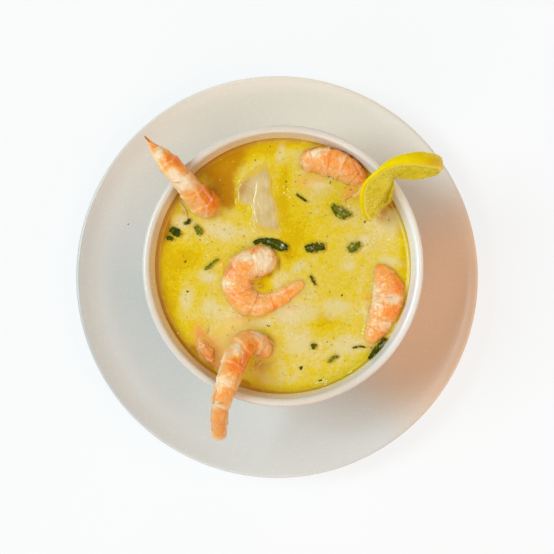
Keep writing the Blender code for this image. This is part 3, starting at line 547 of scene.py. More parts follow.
def along_curve(curve, size, distances):
    """Rows of the curve at distances along it, carried on straight past its ends."""
    lengths = lengths_of(curve, size)
    rows = np.stack([np.interp(distances, lengths, curve[:, k]) for k in range(curve.shape[1])], 1)
    over = np.clip(distances - lengths[-1], 0, None)[:, None]
    under = np.clip(distances, None, 0)[:, None]
    first = (curve[1, :size] - curve[0, :size]) / lengths[1]
    last = (curve[-1, :size] - curve[-2, :size]) / (lengths[-1] - lengths[-2])
    rows[:, :size] += under * first + over * last
    return rows


def unit(rows):
    return rows / np.linalg.norm(rows, axis=-1, keepdims=True)


def spots(points, rows, ragged=0.0):
    """The sum of soft round spots, each (u, v, radius across, radius along, strength) in the picture."""
    u, v = in_picture(points)
    if ragged:
        u, v = u + ragged * rough(points, 3.5, 61, 3), v + ragged * rough(points, 3.5, 65, 3)
    total = np.zeros(len(points))
    for across, along, wide, high, strength in rows:
        total += strength * np.exp(-(((u - across) / wide) ** 2) - ((v - along) / high) ** 2)
    return total


def line_distance(u, v, line):
    """How far each (u, v) lies from a line of points in the picture."""
    best = np.full(len(u), 1e9)
    for (a, b), (c, d) in zip(line, line[1:]):
        length = (c - a) ** 2 + (d - b) ** 2
        t = np.clip(((u - a) * (c - a) + (v - b) * (d - b)) / length, 0, 1)
        best = np.minimum(best, np.hypot(u - a - t * (c - a), v - b - t * (d - b)))
    return best


def lines_at(u, v, lines):
    """How strongly each of the lines, (points, width, strength), marks each place in the picture."""
    return [strength * bell(line_distance(u, v, line), width) for line, width, strength in lines]


def drawn_lines(points, lines):
    """How strongly thin lines, seen in the picture and a little broken, mark each point."""
    u, v = in_picture(points)
    u, v = u + 0.7 * noise(points, 1.6, 71), v + 0.7 * noise(points, 1.6, 72)
    total = np.zeros(len(points))
    for marked in lines_at(u, v, lines):
        total = np.maximum(total, marked)
    return total * (0.75 + 0.25 * noise(points, 1.2, 73))


def ring_angles(count):
    return 2 * np.pi * np.arange(count) / count


def level_ring(centre, radius, angle, z):
    """Points of a level circle, or of a part of it."""
    x, y = centre[0] + radius * np.cos(angle), centre[1] + radius * np.sin(angle)
    return np.column_stack([x, y, np.full(len(angle), z)])


def grid_faces(rows, columns, closed):
    """Quads of a grid of points, row after row, joined round its columns when closed."""
    i = np.arange(rows - 1)[:, None]
    j = np.arange(columns if closed else columns - 1)[None, :]
    k = (j + 1) % columns
    quads = np.stack([i * columns + j, i * columns + k, (i + 1) * columns + k, (i + 1) * columns + j], -1)
    return quads.reshape(-1, 4).tolist()


def fan(tip, first, count):
    """Triangles from the point tip to a ring of count points that starts at first."""
    return [(tip, first + i, first + (i + 1) % count) for i in range(count)]


def closed_faces(rings, sides):
    """Faces of a tube of rings of points that two last points close, one at each end."""
    count = rings * sides
    first = [(tip, b, a) for tip, a, b in fan(count, 0, sides)]
    return grid_faces(rings, sides, True) + first + fan(count + 1, count - sides, sides)


def join_parts(parts):
    """One list of points and one of faces from (points, faces) pairs."""
    points, faces, count = [], [], 0
    for some, theirs in parts:
        points.append(some)
        faces += [tuple(i + count for i in face) for face in theirs]
        count += len(some)
    return np.vstack(points), faces


def add_piece(name, points, faces, look, nodes=(), marks=None):
    """A mesh piece that rides on the root body.

    marks are numbers that the material reads, one for each point. Where they are fewer than the points,
    the last points have 0.
    """
    mesh = bpy.data.meshes.new(name)
    mesh.from_pydata((np.asarray(points) * MM).tolist(), [], faces)
    mesh.validate()
    for key, values in (marks or {}).items():
        filled = np.zeros(len(points), np.float32)
        filled[: np.size(values)] = np.ravel(values)
        mark = mesh.attributes.new(key, "FLOAT", "POINT")
        mark.data.foreach_set("value", filled)
    mesh.shade_smooth()
    mesh.materials.append(look)
    piece = bpy.data.objects.new(name, mesh)
    bpy.context.scene.collection.objects.link(piece)
    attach(piece, "root")
    if nodes:
        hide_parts(*nodes)
    return piece


def outwards(piece):
    """Turns the faces of a closed piece outwards."""
    shape = bmesh.new()
    shape.from_mesh(piece.data)
    bmesh.ops.recalc_face_normals(shape, faces=shape.faces)
    shape.to_mesh(piece.data)
    shape.free()
    return piece


def add_joined(name, parts, look):
    """One piece of many closed parts."""
    points, faces = join_parts(parts)
    return outwards(add_piece(name, points, faces, look))


class Look:
    """A material in the making. Each method adds a node and returns its output."""

    def __init__(self, name, **settings):
        self.material = bpy.data.materials.new(name)
        self.material.use_nodes = True
        self.tree = self.material.node_tree
        self.shader = self.tree.nodes["Principled BSDF"]
        for key, value in settings.items():
            self.shader.inputs[key.replace("_", " ")].default_value = value

    def node(self, kind, settings, inputs, output=0):
        made = self.tree.nodes.new(kind)
        for key, value in settings.items():
            setattr(made, key, value)
        for key, value in inputs.items():
            if isinstance(value, bpy.types.NodeSocket):
                self.tree.links.new(value, made.inputs[key])
            else:
                made.inputs[key].default_value = value
        return made.outputs[output]

    def mark(self, name):
        return self.node("ShaderNodeAttribute", {"attribute_name": name}, {}, "Fac")

    def joined(self, x, y, z):
        return self.node("ShaderNodeCombineXYZ", {}, {"X": x, "Y": y, "Z": z})

    def stretched(self, where, scale):
        return self.node("ShaderNodeMapping", {}, {"Vector": where, "Scale": scale})

    def place(self, scale=(1, 1, 1)):
        return self.stretched(self.node("ShaderNodeTexCoord", {}, {}, "Object"), scale)

    def noise(self, size, detail=3.0, where=None, warp=0.0):
        """size is that of its lumps, in millimetres."""
        values = {"Vector": where or self.place(), "Scale": 1000.0 / size}
        values.update({"Detail": detail, "Distortion": warp})
        return self.node("ShaderNodeTexNoise", {}, values, "Fac")

    def cells(self, size, where=None, output="Distance"):
        values = {"Vector": where or self.place(), "Scale": 1000.0 / size}
        return self.node("ShaderNodeTexVoronoi", {}, values, output)

    def math(self, operation, a, b):
        return self.node("ShaderNodeMath", {"operation": operation}, {0: a, 1: b})

    def total(self, *terms):
        """The sum of (value, factor) pairs and plain numbers."""
        result = 0.0
        for term in terms:
            part = self.math("MULTIPLY", *term) if isinstance(term, tuple) else term
            result = self.math("ADD", result, part)
        return result

    def ranged(self, value, low, high, to_low=0.0, to_high=1.0):
        """The value in a smooth step from low to high."""
        names = ("Value", "From Min", "From Max", "To Min", "To Max")
        values = dict(zip(names, (value, low, high, to_low, to_high)))
        return self.node("ShaderNodeMapRange", {"interpolation_type": "SMOOTHSTEP"}, values)

    def ramp(self, value, stops):
        made = self.tree.nodes.new("ShaderNodeValToRGB")
        self.tree.links.new(value, made.inputs[0])
        points = made.color_ramp.elements
        while len(points) < len(stops):
            points.new(0.5)
        for point, (position, colour) in zip(points, stops):
            point.position = position
            point.color = (*colour, 1.0)
        return made.outputs["Color"]

    def blend(self, factor, a, b, kind="MIX"):
        """Colour a turned into b, or into a times b for MULTIPLY, as far as factor says."""
        colours = [c if isinstance(c, bpy.types.NodeSocket) else (*c, 1.0) for c in (a, b)]
        settings = {"data_type": "RGBA", "blend_type": kind}
        return self.node("ShaderNodeMix", settings, {0: factor, 6: colours[0], 7: colours[1]}, 2)

    def paint(self, colour, where, tint, strength=None):
        """The colour with a tint where a mark's name, or a value, says, times strength."""
        factor = self.mark(where) if isinstance(where, str) else where
        if strength is not None:
            factor = self.math("MULTIPLY", factor, strength)
        return self.blend(factor, colour, tint)

    def bump(self, height, distance, strength=1.0, under=None):
        inputs = {"Height": height, "Distance": distance * MM, "Strength": strength}
        if under is not None:
            inputs["Normal"] = under
        return self.node("ShaderNodeBump", {}, inputs)

    def finish(self, **links):
        for key, value in links.items():
            self.tree.links.new(value, self.shader.inputs[key.replace("_", " ")])
        return self.material


def two_tone(name, size, detail, low, high, high_at=0.65, **settings):
    """A material mottled between two colours."""
    look = Look(name, **settings)
    return look.finish(Base_Color=look.ramp(look.noise(size, detail), [(0.35, low), (high_at, high)]))


def glaze(name, colour, warm):
    """White glaze with faint clouds, pinholes and a soft waviness, the soup's film, and painted light and
    shade.
    """
    look = Look(name, IOR=1.5, Coat_Weight=0.25, Coat_Roughness=0.08)
    pits = look.ranged(look.cells(5.5), 0.0, 0.05, 1.0, 0.0)
    fine = look.noise(1.6, 4)
    shade = look.total((look.noise(38, 4, warp=0.4), 0.75), (fine, 0.25))
    tint = look.ramp(shade, [(0.25, tuple(c * w for c, w in zip(colour, warm))), (0.75, colour)])
    # Painted light: the plate brighter and warmer towards its top
    tint = look.paint(tint, "glow", (0.90, 0.83, 0.72))
    # Painted warm shadow on the plate's right side
    tint = look.paint(tint, "warm", (0.80, 0.605, 0.45))
    tint = look.paint(tint, pits, tuple(c * 0.72 for c in colour), 0.04)
    # Painted light: the bowl's right side whiter than its warmer glaze elsewhere, as the cool lamp lights it
    tint = look.paint(tint, "white", (0.86, 0.87, 0.88))
    # The soup's film on the bowl, which on the left also stands for a painted warm reflection
    film = look.mark("film")
    film = look.total((film, 0.5), (look.math("MULTIPLY", film, fine), 0.7))
    tint = look.paint(tint, film, (1.0, 0.82, 0.37))
    # Painted shade on the plate's left edge and the bowl's outermost rim line, and a faint grey line in the
    # plate's lip
    tint = look.paint(tint, "rim", (0.30, 0.24, 0.20))
    wave = look.bump(look.noise(9, 2), 0.08, 0.5)
    gloss = look.total(0.2, (fine, 0.12))
    return look.finish(Base_Color=tint, Roughness=gloss, Normal=look.bump(fine, 0.004, 0.25, wave))


def turned(name, profile, centre, look, node, marks_of):
    """A profile of (radius, height) from the axis under the piece round to the axis above it, turned."""
    angle = ring_angles(TURNS)
    rings = [level_ring(centre, radius, angle, height) for radius, height in profile[1:-1]]
    points = np.vstack([*rings, (*centre, profile[0][1]), (*centre, profile[-1][1])])
    faces = closed_faces(len(rings), TURNS)
    return add_piece(name, points, faces, look, (node,), marks_of(points - (*centre, 0)))


def plate_marks(points):
    """A faint grey line inside the lip, painted shade on the left edge, painted light and a painted warm
    shadow.
    """
    radius = np.hypot(points[:, 0], points[:, 1])
    angle = np.arctan2(points[:, 1], points[:, 0])
    line = bell(radius - PLATE_RADIUS + 3.6, 0.5) * (points[:, 2] > PLATE_HEIGHT - 3)
    # Painted shade that greys the left edge
    left = smooth_step(99, 113, radius) * smooth_step(0.1, 1.0, -np.cos(angle))
    # Painted light that brightens the top, and a painted warm shadow on the right
    glow = smooth_step(0.1, 1.1, np.cos(angle - math.radians(PLATE_PAINTED_LIGHT_SIDE)))
    warm = smooth_step(0.7, 0.96, np.cos(angle - math.radians(PLATE_PAINTED_SHADOW_SIDE)))
    return {"rim": 0.16 * line + 0.28 * left, "glow": 0.95 * glow, "warm": warm * (radius > PLATE_PAINTED_SHADOW_FROM)}


def bowl_marks(points):
    """The soup's film above its edge, higher on the left as a painted warm reflection, painted shade on the
    rim's outermost line, and painted light on its right side.
    """
    radius = np.hypot(points[:, 0], points[:, 1])
    angle = np.arctan2(points[:, 1], points[:, 0])
    to_right = np.cos(angle - 0.15)
    upper = points[:, 2] > BOWL_UPPER
    above = np.clip(points[:, 2] - (SOUP_TOP + MENISCUS_RISE), 0, None)
    inside = (radius < BOWL_RADIUS - BOWL_LIP + 0.3) & upper
    # Higher on the left, where the film also paints the soup's warm reflection on the wall
    film = inside * np.exp(-above / (2.6 - 1.4 * to_right))
    side = 0.45 + 0.55 * smooth_step(-0.2, 0.5, np.cos(angle + 1.2))
    line = bell(radius - BOWL_RADIUS, 0.22) * upper * side
    # The white mark is painted light that makes the right side whiter
    return {"film": film, "rim": 0.75 * line, "white": 0.8 * smooth_step(0.2, 1.0, to_right)}


def plate_rise(share):
    """The height of the plate's top at a share of the way from its well to its lip."""
    return PLATE_WELL_TOP + (PLATE_HEIGHT - PLATE_WELL_TOP) * share**1.45


def lip_arc(centre, radius, first, last, steps):
    turn = np.radians(np.linspace(first, last, steps))
    return centre + radius * np.stack([np.cos(turn), np.sin(turn)], 1)


def plate_profile():
    lip = np.array((PLATE_RADIUS - PLATE_LIP, PLATE_HEIGHT - PLATE_LIP))
    share = np.linspace(0.0, 0.94, 34)
    top = np.stack([PLATE_WELL_RADIUS + share * (lip[0] - PLATE_WELL_RADIUS), plate_rise(share)], 1)
    under = top[3:-3] + (1.0, -PLATE_THICKNESS)
    edge = lip_arc(lip, PLATE_LIP, -60, 100, 14)
    foot = [(radius, PLATE_FOOT[0][1]) for radius in (0, 20, 40)]
    well = [(radius, PLATE_WELL_TOP) for radius in (55, 40, 25, 12, 0)]
    return np.vstack([foot, PLATE_FOOT, under, edge, top[::-1], well])


def bowl_inside():
    return np.array([(BOWL_RADIUS - BOWL_LIP - inset, height) for inset, height in BOWL_INSIDE])


def bowl_profile():
    lip = np.array((BOWL_RADIUS - BOWL_LIP / 2, BOWL_HEIGHT - BOWL_LIP / 2))
    edge = lip_arc(lip, BOWL_LIP / 2, 2, 172, 36)
    outside = curve_through(BOWL_OUTSIDE, 6)
    inside = curve_through(bowl_inside(), 10)
    floor = [(18, 6.9), (9, 6.9), (0, 6.8)]
    return np.vstack([BOWL_FOOT, outside, edge, inside[1:-1], floor]) + (0, BOWL_BASE)


def make_porcelain():
    plate_white = glaze("plate_glaze", (0.68, 0.70, 0.68), (0.98, 0.985, 1.0))
    bowl_white = glaze("bowl_glaze", (0.72, 0.67, 0.59), (0.985, 0.99, 1.0))
    turned("plate_body", plate_profile(), (0, 0), plate_white, "plate", plate_marks)
    turned("bowl_body", bowl_profile(), BOWL_CENTRE, bowl_white, "bowl", bowl_marks)


def shrimp_look(name, base=0.0, mottle=1.0):
    """Cooked shrimp: white flesh under an orange skin, with fibres along it and stripes across."""
    look = Look(
        name, IOR=1.36, Subsurface_Weight=0.28, Subsurface_Scale=0.0022, Subsurface_Radius=(1.0, 0.4, 0.2),
        Coat_Weight=0.35, Coat_Roughness=0.1,
    )
    where = look.joined(look.mark("along"), look.mark("round"), 0.0)
    fibre = look.noise(OWN_SIZE, 4, look.stretched(where, (0.35, 1.9, 1.0)), warp=0.6)
    stripe = look.noise(OWN_SIZE, 3, look.stretched(where, (1.1, 0.22, 1.0)), warp=0.8)
    blot = look.noise(5.0, 4, warp=0.7)
    grain = look.noise(0.9, 3)
    mask = look.total(
        0.46 + base, (look.mark("patch"), 0.44), (blot, 0.7 * mottle), -0.35 * mottle, (fibre, 0.6), -0.3,
        (stripe, 0.5), -0.25, (grain, 0.6 * mottle), -0.3 * mottle, (look.mark("seam"), 0.16),
        (look.mark("back"), 0.12), -0.06,
    )
    skin = look.ramp(mask, [
        (0.0, (0.86, 0.74, 0.52)), (0.2, (0.88, 0.62, 0.33)), (0.44, (0.89, 0.44, 0.11)),
        (0.68, (0.93, 0.32, 0.012)), (0.98, (0.87, 0.20, 0.0)),
    ])
    # Painted warm light on flanks that face left, which only the cool lamp lights
    skin = look.paint(skin, "painted_flank_light", (1.0, 0.60, 0.23), 0.5)
    blush = look.ranged(look.noise(2.4, 3, warp=0.6), 0.5, 0.7, 0.0, 0.4 * mottle)
    skin = look.paint(skin, blush, (0.90, 0.48, 0.30))
    speck = look.noise(0.62, 2)
    skin = look.paint(skin, look.ranged(speck, 0.6, 0.72, 0.0, 0.5 * mottle), (0.66, 0.25, 0.05))
    skin = look.paint(skin, look.ranged(speck, 0.4, 0.28, 0.0, 0.45 * mottle), (0.94, 0.78, 0.60))
    # The shell's raised lips, paler as a painted highlight
    skin = look.paint(skin, "lip", (0.97, 0.78, 0.56), 0.3)
    # Painted highlights and pale folds
    skin = look.paint(skin, "glint", (0.96, 0.86, 0.74))
    skin = look.paint(skin, "gold", (0.92, 0.76, 0.22))
    skin = look.paint(skin, "wet", (0.80, 0.52, 0.10), 0.6)
    # Painted shade
    skin = look.paint(skin, "painted_shade", (0.58, 0.27, 0.10))
    skin = look.paint(skin, "vein", (0.22, 0.06, 0.02))
    bumps = look.total((fibre, 0.5), (grain, 0.35), (blot, 0.3))
    pores = look.bump(look.noise(0.45, 2), 0.03, 0.5)
    gloss = look.ranged(look.total((grain, 0.6), (stripe, 0.4)), 0.2, 0.8, 0.22, 0.46)
    return look.finish(Base_Color=skin, Roughness=gloss, Normal=look.bump(bumps, 0.5, 0.85, pores))


def shrimp_rings(rows, segments, roll):
    """Rings along a spine: their distances, its length, its rows, side and up, and how its ends taper."""
    curve = curve_through(rows, 24)
    total = lengths_of(curve, 3)[-1]
    start, end = 0.25 * rows[0][3], 0.2 * rows[-1][3]
    share = np.linspace(0, 1, int((total + start + end) / RING_STEP))
    # Rings stand closer near both ends
    share = share - 0.5 * np.sin(2 * np.pi * share) / (2 * np.pi) * (6.0 / total)
    distance = -start + share * (total + start + end)
    here = along_curve(curve, 3, distance)
    ahead, behind = (along_curve(curve, 3, distance + step)[:, :3] for step in (0.02 * total, -0.02 * total))
    along = unit(ahead - behind)
    level = unit(np.cross(along, (0, 0, 1)))
    lean = math.radians(roll)
    side = level * math.cos(lean) + np.cross(along, level) * math.sin(lean)
    front = np.clip((distance + start) / (start + 0.3 * total / segments), 0, 1)
    rear = np.clip((total + end - distance) / (end + 0.45 * rows[-1][3] + 0.02 * total / segments), 0, 1)
    ends = np.sqrt(np.clip(1 - (1 - front) ** 2, 0, 1)) * (1 - (1 - rear) ** 2.4) ** (1 / 2.4)
    return distance, total, here, side, np.cross(side, along), ends


def shell_relief(phase, segments):
    """The width of the shell as it steps from segment to segment, its raised lips and the seams by them."""
    part = phase - np.floor(phase)
    inner = (phase > 0.6) & (phase < segments - 0.15)
    lip = bell(1 - part, 0.07) * inner
    seam = bell(part, 0.09) * inner
    shell = 1 - SHELL_STEP * (1 - part) * smooth_step(0.0, 0.07, part)
    return shell + 0.018 * lip - 0.02 * seam, lip, seam


def soup_cover(points, rows):
    """1 where a piece dips under the soup, fading out above it, and more where the soup runs over it."""
    level = points[:, 2] + 0.5 * noise(points, 2.5, 3)
    low = 1 - smooth_step(SOUP_TOP - 0.2, SOUP_TOP + 1.6, level)
    over = 1.1 * spots(points, rows, 2.0) * (1 - smooth_step(SOUP_TOP + 1.0, SOUP_TOP + 5.5, level))
    return np.clip(low + over, 0, 1)


def make_shrimp(name, look):
    rows, segments, flatness, roll, back = SHRIMPS[name]
    distance, total, here, side, up, ends = shrimp_rings(rows, segments, roll)
    steps = len(distance)
    angle = ring_angles(SIDES)
    cos, sin = np.cos(angle), np.sin(angle)
    toward_back = np.cos(angle - math.radians(back))
    middle, side, up = here[:, None, :3], side[:, None], up[:, None]
    wavy = middle + side * (here[:, 3:4] * cos)[..., None]
    wavy = rough(wavy.reshape(-1, 3) + (0, 0, 5), 5.0, 17, 2).reshape(steps, SIDES)
    phase = np.clip(distance / total, 0, 0.999)[:, None] * segments + 0.11 * toward_back + 0.10 * wavy
    relief, lip, seam = shell_relief(phase, segments)
    wide = here[:, 3:4] * (relief * ends[:, None])
    flat = middle + side * (wide * cos)[..., None] + up * (wide * flatness * sin)[..., None]
    flat = flat.reshape(-1, 3)
    outward = unit(side * (cos * flatness)[:, None] + up * sin[:, None])
    lump = 0.36 * rough(flat, 3.6, 5, 2) + 0.2 * rough(flat, 1.5, 9, 2)
    taper = np.repeat(np.clip(here[:, 3] / 5.0, 0.1, 1.0) * np.clip(ends, 0.0, 1.0), SIDES)
    flat = flat + outward.reshape(-1, 3) * (lump * taper - 0.12)[:, None]
    points = np.vstack([flat, here[0, :3], here[-1, :3]])
    marks = {
        "along": np.repeat(distance, SIDES),
        "round": here[:, 3:4] * angle,
        "back": np.append(np.tile(toward_back * 0.5 + 0.5, steps), (0.5, 0.5)),
        "seam": seam,
        "lip": lip.ravel() * (0.35 + 0.65 * (rough(flat, 2.0, 21, 2) > 0)),
        "patch": spots(points, PATCHES[name], 2.6),
        "glint": drawn_lines(points, GLINTS.get(name, ())),
        "gold": drawn_lines(points, GOLD.get(name, ())),
        "wet": soup_cover(points, COVERED.get(name, ())),
        "vein": drawn_lines(points, VEINS[name]),
        # Painted shade
        "painted_shade": spots(points, SHRIMP_PAINTED_SHADE.get(name, ()), 2.0),
        # Painted warm light on flanks that face left
        "painted_flank_light": np.clip(0.10 - outward[..., 0], 0, 1),
    }
    faces = closed_faces(steps, SIDES)
    return outwards(add_piece(name + "_flesh", points, faces, look, (name,), marks))


def make_shrimps():
    dry, wet = shrimp_look("shrimp_dry", 0.02, 0.6), shrimp_look("shrimp_wet", 0.03)
    looks = {"shrimp_a": dry, "shrimp_f": dry, "shrimp_e": shrimp_look("shrimp_sunk", 0.2, 1.3)}
    return [make_shrimp(name, looks.get(name, wet)) for name in SHRIMPS]


def strand(curve, radii):
    """Points and faces of a round strand along a curve."""
    angle = ring_angles(STRAND_SIDES)
    along = unit(np.gradient(curve, axis=0))
    side = unit(np.cross(along, (0.13, 0.21, 1.0)))
    up = np.cross(side, along)
    spread = side[:, None] * np.cos(angle)[:, None] + up[:, None] * np.sin(angle)[:, None]
    rings = curve[:, None] + radii[:, None, None] * spread
    first = tuple(range(STRAND_SIDES))
    last = tuple((len(curve) - 1) * STRAND_SIDES + i for i in first)[::-1]
    return rings.reshape(-1, 3), grid_faces(len(curve), STRAND_SIDES, True) + [first, last]


def make_strands():
    look = two_tone(
        "strands", 2.0, 3, (0.93, 0.66, 0.36), (0.90, 0.34, 0.05), 0.62,
        Roughness=0.35, Subsurface_Weight=0.3, Subsurface_Scale=0.001,
    )
    parts = []
    for line, heights, width in STRANDS:
        levels = [SOUP_TOP + rise for rise in heights]
        curve = curve_through([(*seen(u, v, z), z) for (u, v), z in zip(line, levels)], 8)
        taper = 1 - 0.7 * np.linspace(0, 1, len(curve))
        parts.append(strand(curve, width * taper * (1 + 0.15 * noise(curve, 1.0, 4))))
    add_joined("strands", parts, look)


def lemon_look():
    """Flesh of juice sacs with pale walls, white pith and a yellow rind."""
    look = Look(
        "lemon", Specular_IOR_Level=0.08, Subsurface_Weight=0.15, Subsurface_Scale=0.002,
        Subsurface_Radius=(1.0, 0.8, 0.25),
    )
    radial, rind = look.mark("radial"), look.mark("rind")
    where = look.joined(radial, look.mark("turn"), look.mark("deep"))
    sac = look.noise(OWN_SIZE, 3, look.stretched(where, (5.0, 26.0, 2.0)), warp=0.9)
    cell = look.cells(OWN_SIZE, look.stretched(where, (6.0, 22.0, 2.0)))
    blur = look.noise(3.0, 3)
    flesh = look.ramp(look.total((sac, 0.9), (cell, 0.4), (blur, 0.3), -0.2), [
        (0.25, (0.49, 0.39, 0.0)), (0.48, (0.65, 0.55, 0.0)), (0.72, (0.86, 0.80, 0.03)),
    ])
    # Painted light that brightens the flesh
    flesh = look.paint(flesh, "pale", (0.88, 0.82, 0.10))
    flesh = look.paint(flesh, "wall", (0.84, 0.77, 0.16), 0.5)
    spark = look.noise(0.75, 3, warp=0.5)
    # Painted glints, and darker wet specks, where the soup has wetted it
    flesh = look.paint(flesh, "wetted", (0.98, 0.95, 0.42), look.ranged(spark, 0.56, 0.66))
    flesh = look.paint(flesh, "wetted", (0.52, 0.33, 0.0), look.ranged(spark, 0.44, 0.36, 0.0, 0.8))
    pith = look.ranged(look.total((radial, 1.0), (sac, 0.02)), 0.925, 0.945)
    flesh = look.paint(flesh, pith, (0.88, 0.83, 0.12))
    pores = look.cells(1.1)
    skin = look.ramp(look.total((look.noise(7, 3), 0.7), (pores, 0.2)), [
        (0.3, (0.75, 0.59, 0.0)), (0.7, (0.88, 0.74, 0.001)),
    ])
    skin = look.paint(skin, "ripe", (0.80, 0.47, 0.0))
    # Painted warm light: redder where only the cool lamp reaches
    colour = look.blend(look.mark("cool"), look.blend(rind, flesh, skin), (1.45, 0.96, 1.0), "MULTIPLY")
    # Painted shade under the free end
    colour = look.paint(colour, "under", (0.42, 0.29, 0.01))
    bumps = look.total((look.math("MULTIPLY", rind, pores), 0.5), (look.math("MULTIPLY", cell, 0.6), 1.0))
    gloss = look.ranged(blur, 0.3, 0.7, 0.25, 0.42)
    return look.finish(Base_Color=colour, Roughness=gloss, Normal=look.bump(bumps, 0.22, 0.6))


def lemon_directions():
    """Directions from the middle to the rind, and how far each ray reaches as a share of the radius."""
    rays = []
    for azimuth, elevation, reach in LEMON_RAYS:
        a, e = math.radians(azimuth), math.radians(elevation)
        rays.append((math.cos(e) * math.cos(a), math.cos(e) * math.sin(a), math.sin(e), reach))
    curve = curve_through(rays, 26)
    return unit(curve[:, :3]), np.clip(curve[:, 3], 0, 1)


def lemon_section():
    """The outline of a section, out along one face, round the rind and back: (share of the radius, depth)."""
    out = np.linspace(0.02, LEMON_RIND, 40)
    rind = []
    for depth in np.linspace(0, 1, 12)[1:-1]:
        near = min(depth, 1 - depth)
        rounded = LEMON_RIND + (1 - LEMON_RIND) * np.sin(np.pi * near / 0.36)
        rind.append((rounded if near < 0.18 else 1.0, depth))
    return [(ring, 0.0) for ring in out] + rind + [(ring, 1.0) for ring in out[::-1]]


def lemon_relief(radial, turns, deep):
    """The walls between the segments, and how far walls and juice sacs stand out of both faces."""
    sector = 2 * math.pi / LEMON_SEGMENTS
    place = (turns + 0.2) / sector
    wall = bell(np.abs(place - np.round(place)) * sector * radial * LEMON_RADIUS, 0.45)
    flesh = smooth_step(0.92, 0.87, radial)
    wall = np.maximum(wall * flesh, bell(radial, 0.06))
    sacs = np.stack([radial * 14, turns * 26, deep * 3], -1).reshape(-1, 3)
    sacs = rough(sacs, 1.0, 31, 2).reshape(radial.shape)
    face = (deep < 0.01) | (deep > 0.99)
    return wall, face * (flesh * (0.26 * sacs - 0.25) + 0.15 * wall)


def make_lemon(look):
    here, reach = lemon_directions()
    count = len(here)
    index = np.arange(count)
    ahead = here[np.minimum(index + 1, count - 1)] - here[np.maximum(index - 1, 0)]
    back = unit(np.cross(ahead, here))
    share = np.linspace(0, 1, count)
    thick = LEMON_THICK_OUTSIDE + smooth_step(0.2, 0.5, share) * (LEMON_THICK_INSIDE - LEMON_THICK_OUTSIDE)
    turn = np.concatenate([[0], np.cumsum(np.arccos(np.clip((here[1:] * here[:-1]).sum(1), -1, 1)))])
    ragged = 1 - 0.07 * smooth_step(0.99, 0.9, reach) * (0.5 + 0.5 * rough(here * 90, 6.0, 4, 3))
    section = lemon_section()
    size = len(section)
    mean_back = unit(back.mean(0))
    columns = []
    for ring, depth in section:
        # Near the middle all sections lean the same way and are equally thick
        own = min(ring / 0.5, 1.0)
        away = unit(mean_back * (1 - own) + back * own)
        thickness = LEMON_THICK_INSIDE + own * (thick - LEMON_THICK_INSIDE)
        crown = 0.5 * (1 - (2 * depth - 1) ** 2) if ring >= 0.999 else 0.0
        where = LEMON_APEX + here * (LEMON_RADIUS * reach * ragged * ring + crown)[:, None]
        columns.append(where + away * (thickness * depth)[:, None])
    radial = np.stack([ring * reach for ring, _ in section], 1)
    deep = np.tile([depth for _, depth in section], (count, 1))
    turns = np.repeat(turn[:, None], size, 1)
    wall, relief = lemon_relief(radial, turns, deep)
    outer = unit(np.repeat(back[:, None], size, 1))
    points = np.stack(columns, 1) + outer * (relief * np.where(deep < 0.5, -1, 1))[..., None]
    # The flesh sags below its cut end
    points[..., 1] -= 1.9 * np.sin(np.pi * np.clip(radial, 0, 1)) * bell(turns, 0.35) * np.exp(-deep)
    flat = points.reshape(-1, 3)
    pits = 0.10 * noise(flat, 1.0, 8) * (radial.ravel() > 0.95)
    flat = flat + np.repeat(here, size, 0) * pits[:, None]
    faces = [tuple(f[::-1]) for f in grid_faces(count, size, False)]
    faces += [(i * size, (i + 1) * size, (i + 2) * size - 1, (i + 1) * size - 1) for i in range(count - 1)]
    for k in (0, (count - 1) * size):
        faces += [(k + j, k + j + 1, k + size - 2 - j, k + size - 1 - j) for j in range(size // 2 - 1)]
    # The faces that only the cool lamp reaches, which get painted warm light
    facing = np.where(deep[..., None] > 0.5, outer, -outer)
    facing = np.where(radial[..., None] > LEMON_RIND, np.repeat(here[:, None], size, 1), facing)
    low = facing[..., 2]
    cool = smooth_step(0.0, 0.7, 0.6 * facing[..., 1] - 0.8 * facing[..., 0]) * smooth_step(0.8, 0.3, low)
    cool = cool * np.maximum(smooth_step(0.7, 0.5, share)[:, None], smooth_step(0.35, 0.05, low))
    u, v = in_picture(flat)
    marks = {
        "cool": 0.85 * cool,
        "under": (spots(flat, LEMON_UNDER) * (low < 0.35).ravel()).clip(0, 0.8),
        "pale": spots(flat, LEMON_PALE, 2.0),
        "wetted": np.clip(spots(flat, LEMON_WETTED, 2.0), 0, 1),
        "radial": radial,
        "turn": turns,
        "deep": deep,
        "wall": wall,
        "rind": smooth_step(LEMON_RIND, 0.97, radial) * smooth_step(0.9, 0.97, reach)[:, None],
        "ripe": 0.55 * smooth_step(*LEMON_RIPE_ACROSS, u) * smooth_step(*LEMON_RIPE_ALONG, v),
    }
    return outwards(add_piece("lemon_body", flat, faces, look, ("lemon_slice",), marks))


